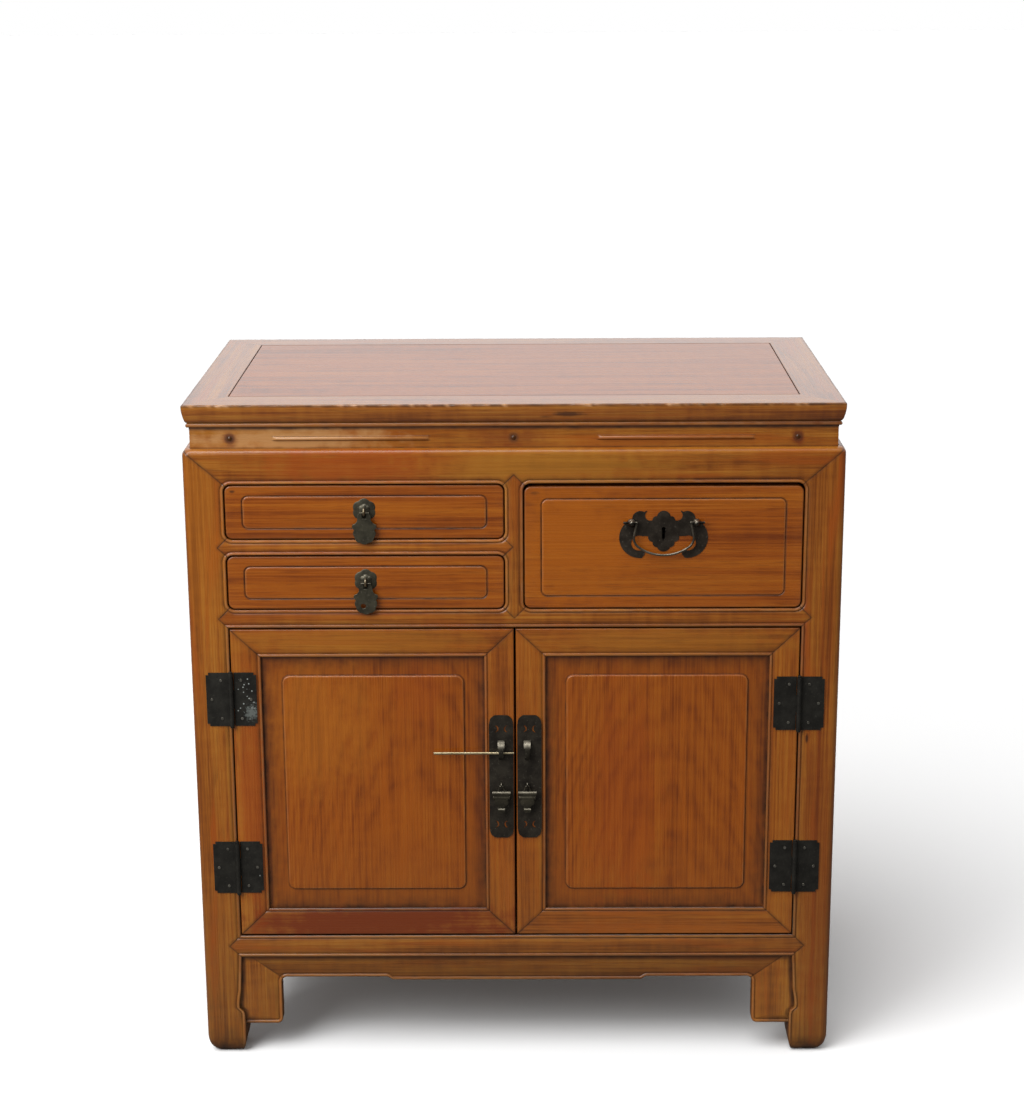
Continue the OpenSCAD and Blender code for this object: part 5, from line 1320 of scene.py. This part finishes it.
def small_pull(name, opening, dark, brass, hole):
    """A six-lobed plate with a slight dome, the ring through it, and the pendant on the ring.
    hole is the radius of a hole in the pendant, or 0."""
    body = name + "_drawer"
    pull_x = (opening[0] + opening[1]) / 2
    pivot = (opening[2] + opening[3]) / 2
    z = pivot + hang_drop
    face_y = front + drawer_inset
    hang_y = face_y - plate_t - pull_ring_r - pull_wire + 0.4

    def lobes(a):
        """Radius at an angle: a circle plus six lobes of |cos(3 a)|."""
        return 12.3 + 1.6 * np.abs(np.cos(3 * (a - np.pi / 2)))

    dome = [(0, 0), (1, 0), (1, 0.45), (0.965, 0.75), (0.9, 0.95), (0.7, 1.2), (0.53, 1.35), (0.49, 2.0),
            (0.43, 2.7), (0.33, 3.25), (0.18, 3.55), (0, 3.6)]
    Solid().turn(dome, (pull_x, face_y, z + 1), "Y", lobes).make(
        name + "_pull_rosette", dark, [name + "_pull_plate"], body, "dark_metal")
    turn = np.radians(np.arange(0, 361, 20))
    wire = np.stack([pull_ring_r + pull_wire * np.cos(turn), pull_wire * np.sin(turn)], 1)
    loop = Solid().turn(wire, (pull_x, hang_y, z), "X")
    loop.turn([(0, 0), (pull_wire, 0), (pull_wire, 14), (0, 14)], (pull_x, face_y + 12, z), "Y")
    loop.make(name + "_pull_ring", brass, (), body, "worn_metal")

    # The pendant, carved as two halves that meet beside its hole and its slot
    turn = np.radians(np.arange(20, -201, -3))
    lobed = 12.2 + 0.9 * np.abs(np.cos(4 * turn))
    shoulder = np.array([(5.6, 0), (7.8, -3.5), (8.0, -9), (10.2, -12.2), (13.4, -13.5), (14.2, -15.6),
                         (13.3, -18.2)])
    leaf = np.stack([lobed * np.cos(turn), -24 + lobed * np.sin(turn)], 1)
    edge = path(shoulder, leaf, mirrored(shoulder)) + [pull_x, pivot]
    split = len(shoulder) + int(np.argmin(np.abs(np.degrees(turn) + 97)))
    split_x = edge[split][0]
    half = pull_wire + 1
    slot_low = pivot - 2 * pull_wire - 1.1 - hang_drop - 1.4
    slot = path((pull_x + half, pivot), (pull_x + half, slot_low),
                (pull_x - half, slot_low), (pull_x - half, pivot))
    right_hole, left_hole, rims = np.zeros((0, 2)), np.zeros((0, 2)), [edge, slot]
    if hole:
        centre = (pull_x - 3, pivot - 27)
        reach_up = math.degrees(math.acos((split_x - centre[0]) / hole))
        right_hole = arc(centre, (hole, hole), -reach_up, reach_up)
        left_hole = arc(centre, (hole, hole), reach_up, 360 - reach_up, 16)
        rims.append(arc(centre, (hole, hole), 0, 360, 24))
    right = path((split_x, slot_low), slot[1], slot[0], edge[:split + 1], right_hole)
    left = path((split_x, slot_low), left_hole, edge[split:], slot[3], slot[2])
    near = hang_y - front - 0.75

    def depth(x, z):
        """A quarter round by the distance from every edge."""
        return near + round_off(distance_to(rims, x, z), 0.45)

    pendant = Solid()
    for view in (right, left):
        pendant.carve(view, Face(beside(rims, (0.12, 0.45)), depth, no_masks), even(near + 1.5), FRONT)
    pendant.make(name + "_pull_leaf", dark, [name + "_pull_pendant"], name + "_pull", "dark_metal")
    roll = Solid().turn([(0, 0), (1.1, 0), (1.1, 11.2), (0, 11.2)], (pull_x - 5.6, hang_y, pivot), "X")
    roll.make(name + "_pull_roll", dark, (), name + "_pull", "dark_metal")


def hardware():
    """Hinges, lock, pulls and handle, each in its own shade of old brass."""
    handle_x = (large_open[0] + large_open[1]) / 2
    black = (0.002, 0.001, 0.001)
    # Painted shadow: a black keyhole painted on the plate.
    painted_keyhole = [((handle_x, front, 662.5), (3.4, 20, 3.6), black, 1.0),
               ((handle_x - 0.25, front, 656.5), (2.4, 20, 7), black, 1.0)]
    bail_ends = [((x, front, 674), (13, 30, 4.5), (0.012, 0.010, 0.008), 1.0)
                 for x in (handle_x - 39.75, handle_x + 39.75)]
    hinge_colours = (0.026, 0.024, 0.020), (0.042, 0.039, 0.032), 0.7, 0.5, 0.1, 2
    dark = metal("dark_brass", (0.032, 0.026, 0.020), (0.062, 0.052, 0.038), 0.75, 0.5, 0.2, 1)
    bat = metal("handle_plate_brass", (0.034, 0.026, 0.019), (0.064, 0.050, 0.037), 0.75, 0.5, 0.2, 1,
                ragged=0.1, marks=painted_keyhole)
    leaf = metal("hinge_brass", *hinge_colours)
    left_leaf = metal("left_hinge_brass", *hinge_colours,
                      specks=[((-317, front, 461), (13, 30, 30)), ((-310.5, front, 246), (3.4, 30, 32))],
                      marks=[((-310, front, 444), (9, 30, 11), (0.34, 0.37, 0.34), 0.6)])
    # worn paints the faces that look up lighter, as rubbing and as a painted highlight.
    worn = metal("worn_and_lit_brass", (0.035, 0.030, 0.022), (0.085, 0.075, 0.055), 0.9, 0.4, 0.5, 3, worn=0.7)
    bail = metal("bail_brass", (0.085, 0.072, 0.054), (0.20, 0.172, 0.13), 0.85, 0.38, 0.5, 9, worn=0.5,
                 ragged=0.2, marks=bail_ends)
    post = metal("post_brass", (0.035, 0.030, 0.024), (0.075, 0.066, 0.052), 0.95, 0.33, 0.8, 10, worn=0.75)
    pin = metal("pin_brass", (0.42, 0.34, 0.19), (0.55, 0.47, 0.30), 1.0, 0.38, 0.3, 4)
    # Pale nail heads, partly a painted highlight, and lighter still on their upper faces.
    nail = metal("nail_brass", (0.12, 0.11, 0.09), (0.30, 0.28, 0.24), 0.9, 0.42, 0.5, 5, worn=0.8)
    pull = metal("pull_brass", (0.058, 0.052, 0.036), (0.102, 0.092, 0.062), 0.8, 0.5, 0.3, 6, worn=0.35)
    hung = metal("pendant_brass", (0.050, 0.043, 0.030), (0.100, 0.086, 0.058), 0.85, 0.45, 0.35, 7, worn=0.6)
    foot = metal("foot_brass", (0.22, 0.20, 0.15), (0.36, 0.33, 0.26), 0.9, 0.4, 0.4, 11)
    ring_metal = metal("ring_brass", (0.14, 0.11, 0.065), (0.34, 0.28, 0.17), 0.95, 0.35, 0.6, 8, worn=0.6)
    dome = [(0, 0), (4.7, 0), (5.0, 1.2), (4.9, 3.2), (4.3, 5.0), (3.2, 6.5), (1.7, 7.4), (0, 7.7)]
    for side, x in (("left", -37.3), ("right", 37.3)):
        Solid().turn(dome, (handle_x + x, front + drawer_inset - plate_t, 672.9), "Y").make(
            "handle_dome_" + side, post, (), "large_drawer", "worn_metal")
    for side in ("left", "right"):
        low, high = (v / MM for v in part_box(side + "_door_pendant"))
        at = ((low.x + high.x) / 2 - 4.3, (low.y + high.y) / 2 - 2.0, low.z + 3.9)
        Solid().turn([(0, 0), (1.3, 0.3), (1.3, 8.3), (0, 8.6)], at, "X").make(
            side + "_pendant_foot", foot, (), side + "_pendant", "worn_metal")
    small_pull("upper", upper_open, pull, ring_metal, 0)
    small_pull("lower", lower_open, pull, ring_metal, 3)
    for material, width, slot, nodes in (
            (leaf, 0.2, "dark_metal", ("post_hinge_leaves", "hinge_pins")),
            (left_leaf, 0.2, "dark_metal", ("left_door_hinge_leaves",)),
            (leaf, 0.2, "dark_metal", ("right_door_hinge_leaves",)),
            (nail, 0.15, "dark_metal", ("post_hinge_nails", "left_door_hinge_nails",
                                        "right_door_hinge_nails")),
            (dark, 0.25, "dark_metal", ("left_lock_plate", "right_lock_plate")),
            (worn, 0.3, "worn_metal", ("left_lock_staples", "right_lock_staples")),
            (hung, 0.35, "dark_metal", ("left_door_pendant", "right_door_pendant")),
            (pin, 0.2, "pin_brass", ("lock_pin",)), (bat, 0.25, "dark_metal", ("handle_plate",)),
            (post, 0, "worn_metal", ("handle_posts",)), (bail, 0, "worn_metal", ("handle_bail",))):
        for node in nodes:
            eased(node, width, material)


def hidden_boards():
    """Boards that show from behind, underneath or when a door or a drawer is open."""
    plain = {axis: wood(f"plain_wood_{axis}", axis, 31, PLAIN_WOOD, gloss=0.6, coat=0.0, lines=0.5,
                        clouds=0.4, darken_low=False) for axis in "XYZ"}
    for material, nodes in (
            (plain["X"], ("cupboard_floor", "back_panels")),
            (plain["Y"], ("top_battens", "drawer_runners", "drawer_partition", "upper_drawer_box",
                          "lower_drawer_box", "large_drawer_box")),
            (wood("side_panel_wood", "Z", 33, FRONT_WOOD, clouds=0.6), ("side_panels",)),
            (wood("peg_wood", "Y", 35, frame_wood(0.22)), ("waist_pegs",))):
        for node in nodes:
            dress(node, material)


# Room and camera

def camera():
    """The photograph's view, from a fit of the cabinet's corners: focal length in pixels,
    turn, tilt and roll in degrees, and the place in millimetres from the front plane."""
    focal, yaw, pitch, roll = 2249.22, math.radians(-0.529), math.radians(15.288), math.radians(-0.346)
    at = Vector((20.64, front - 2504.63, 1324.88))
    data = bpy.data.cameras.new("photo_camera")
    data.sensor_fit, data.sensor_width = "HORIZONTAL", 36
    data.lens = focal / PHOTO_W * data.sensor_width
    eye = linked("photo_camera", data)
    turn = (Matrix.Rotation(-yaw, 4, "Z") @ Matrix.Rotation(math.pi / 2 - pitch, 4, "X")
            @ Matrix.Rotation(roll, 4, "Z"))
    eye.matrix_world = Matrix.Translation(at * MM) @ turn
    bpy.context.scene.camera = eye


def looking(way):
    """Turn of a lamp that shines in a direction."""
    return way.to_track_quat("-Z", "Y").to_euler()


def room():
    """A pale floor that the camera sees nearly white, and a studio that is white overhead and
    behind, as the polish shows it, and dim in front. The light comes from high on the left."""
    bpy.context.scene.view_settings.view_transform = "Standard"
    t = Tree(bpy.data.materials.new("pale_floor"))
    seen = t.node("LightPath", out="Is Camera Ray")
    t.set(Base_Color=t.blend(seen, (0.14, 0.14, 0.14), (0.97, 0.97, 0.97)), Roughness=0.9,
          Specular_IOR_Level=0.0)
    bpy.ops.mesh.primitive_plane_add(size=60)
    floor = bpy.context.object
    floor.name = "studio_floor"
    floor.data.materials.append(t.owner)

    world = bpy.data.worlds.new("studio")
    t = Tree(world, "Background")
    rays = t.node("LightPath")
    lift = t.node("VectorMath", {"operation": "DOT_PRODUCT"},
                  {0: t.node("TexCoord", out="Generated"), 1: (0, 0.6, 0.8)}, out="Value")
    glow = t.node("MapRange", {}, {"Value": lift, "From Min": 0.1, "From Max": 0.6,
                                   "To Min": 0.03, "To Max": 1.0})
    ambient = 0.56
    level = t.node("Mix", {}, {"Factor": rays.other("Is Glossy Ray"), 2: ambient, 3: glow})
    level = t.node("Mix", {}, {"Factor": rays.other("Is Camera Ray"), 2: level, 3: 1.0})
    t.set(Color=(1, 1, 1), Strength=level)
    bpy.context.scene.world = world

    lamp = bpy.data.lights.new("left_lamp", "AREA")
    lamp.shape, lamp.size, lamp.size_y, lamp.energy = "RECTANGLE", 1.3, 1.1, 29
    placed = linked("left_lamp", lamp)
    placed.location = (-1.4, -1.6, 1.6)
    placed.rotation_euler = looking(Vector((0, 0, 0.4)) - placed.location)
    sun = bpy.data.lights.new("high_lamp", "SUN")
    sun.energy, sun.angle = 1.75, math.radians(42)
    linked("high_lamp", sun).rotation_euler = looking(Vector((0.7, 0.75, -1.9)))


camera()
room()
body_frame()
aprons()
waist()
top()
door("left", -inner + door_gap, -doors_apart / 2, 40, (-0.12, 0, 0.27),
     marks=[((-170, front, 175), (240, 40, 32), DARK_STAIN_AND_SHADE, 0.95),
            ((-316, front, 320), (26, 40, 190), STAIN_RED, 0.5),
            ((-180, front, 528), (190, 40, 24), STAIN_OLIVE, 0.35)],
     # The amber mark on the panel's upper left is painted light.
     panel_marks=[((-235, front, 430), (90, 40, 110), PAINTED_LIGHT_AMBER, 0.4),
                  ((-110, front, 470), (40, 40, 60), STAIN_RED, 0.3)])
door("right", doors_apart / 2, inner - door_gap, 50, (0.19, 0, 0.24),
     marks=[((180, front, 528), (190, 40, 24), STAIN_OLIVE, 0.35)],
     panel_marks=[((130, front, 330), (60, 40, 170), STAIN_RED, 0.35)])
drawer("upper_drawer", upper_open, 1.8, 12.5, 60, [((-324, front, 711), (5, 20, 2.5), KNOT, 0.8)])
drawer("lower_drawer", lower_open, 1.8, 12.5, 62)
drawer("large_drawer", large_open, 4.0, 15, 64,
       [((24, front, 708), (6, 20, 2), KNOT, 0.8), ((70, front, 650), (110, 20, 90), STAIN_LIGHT, 0.6)],
       hollow=(166.5, 178, 646, 672, 0))
hardware()
hidden_boards()
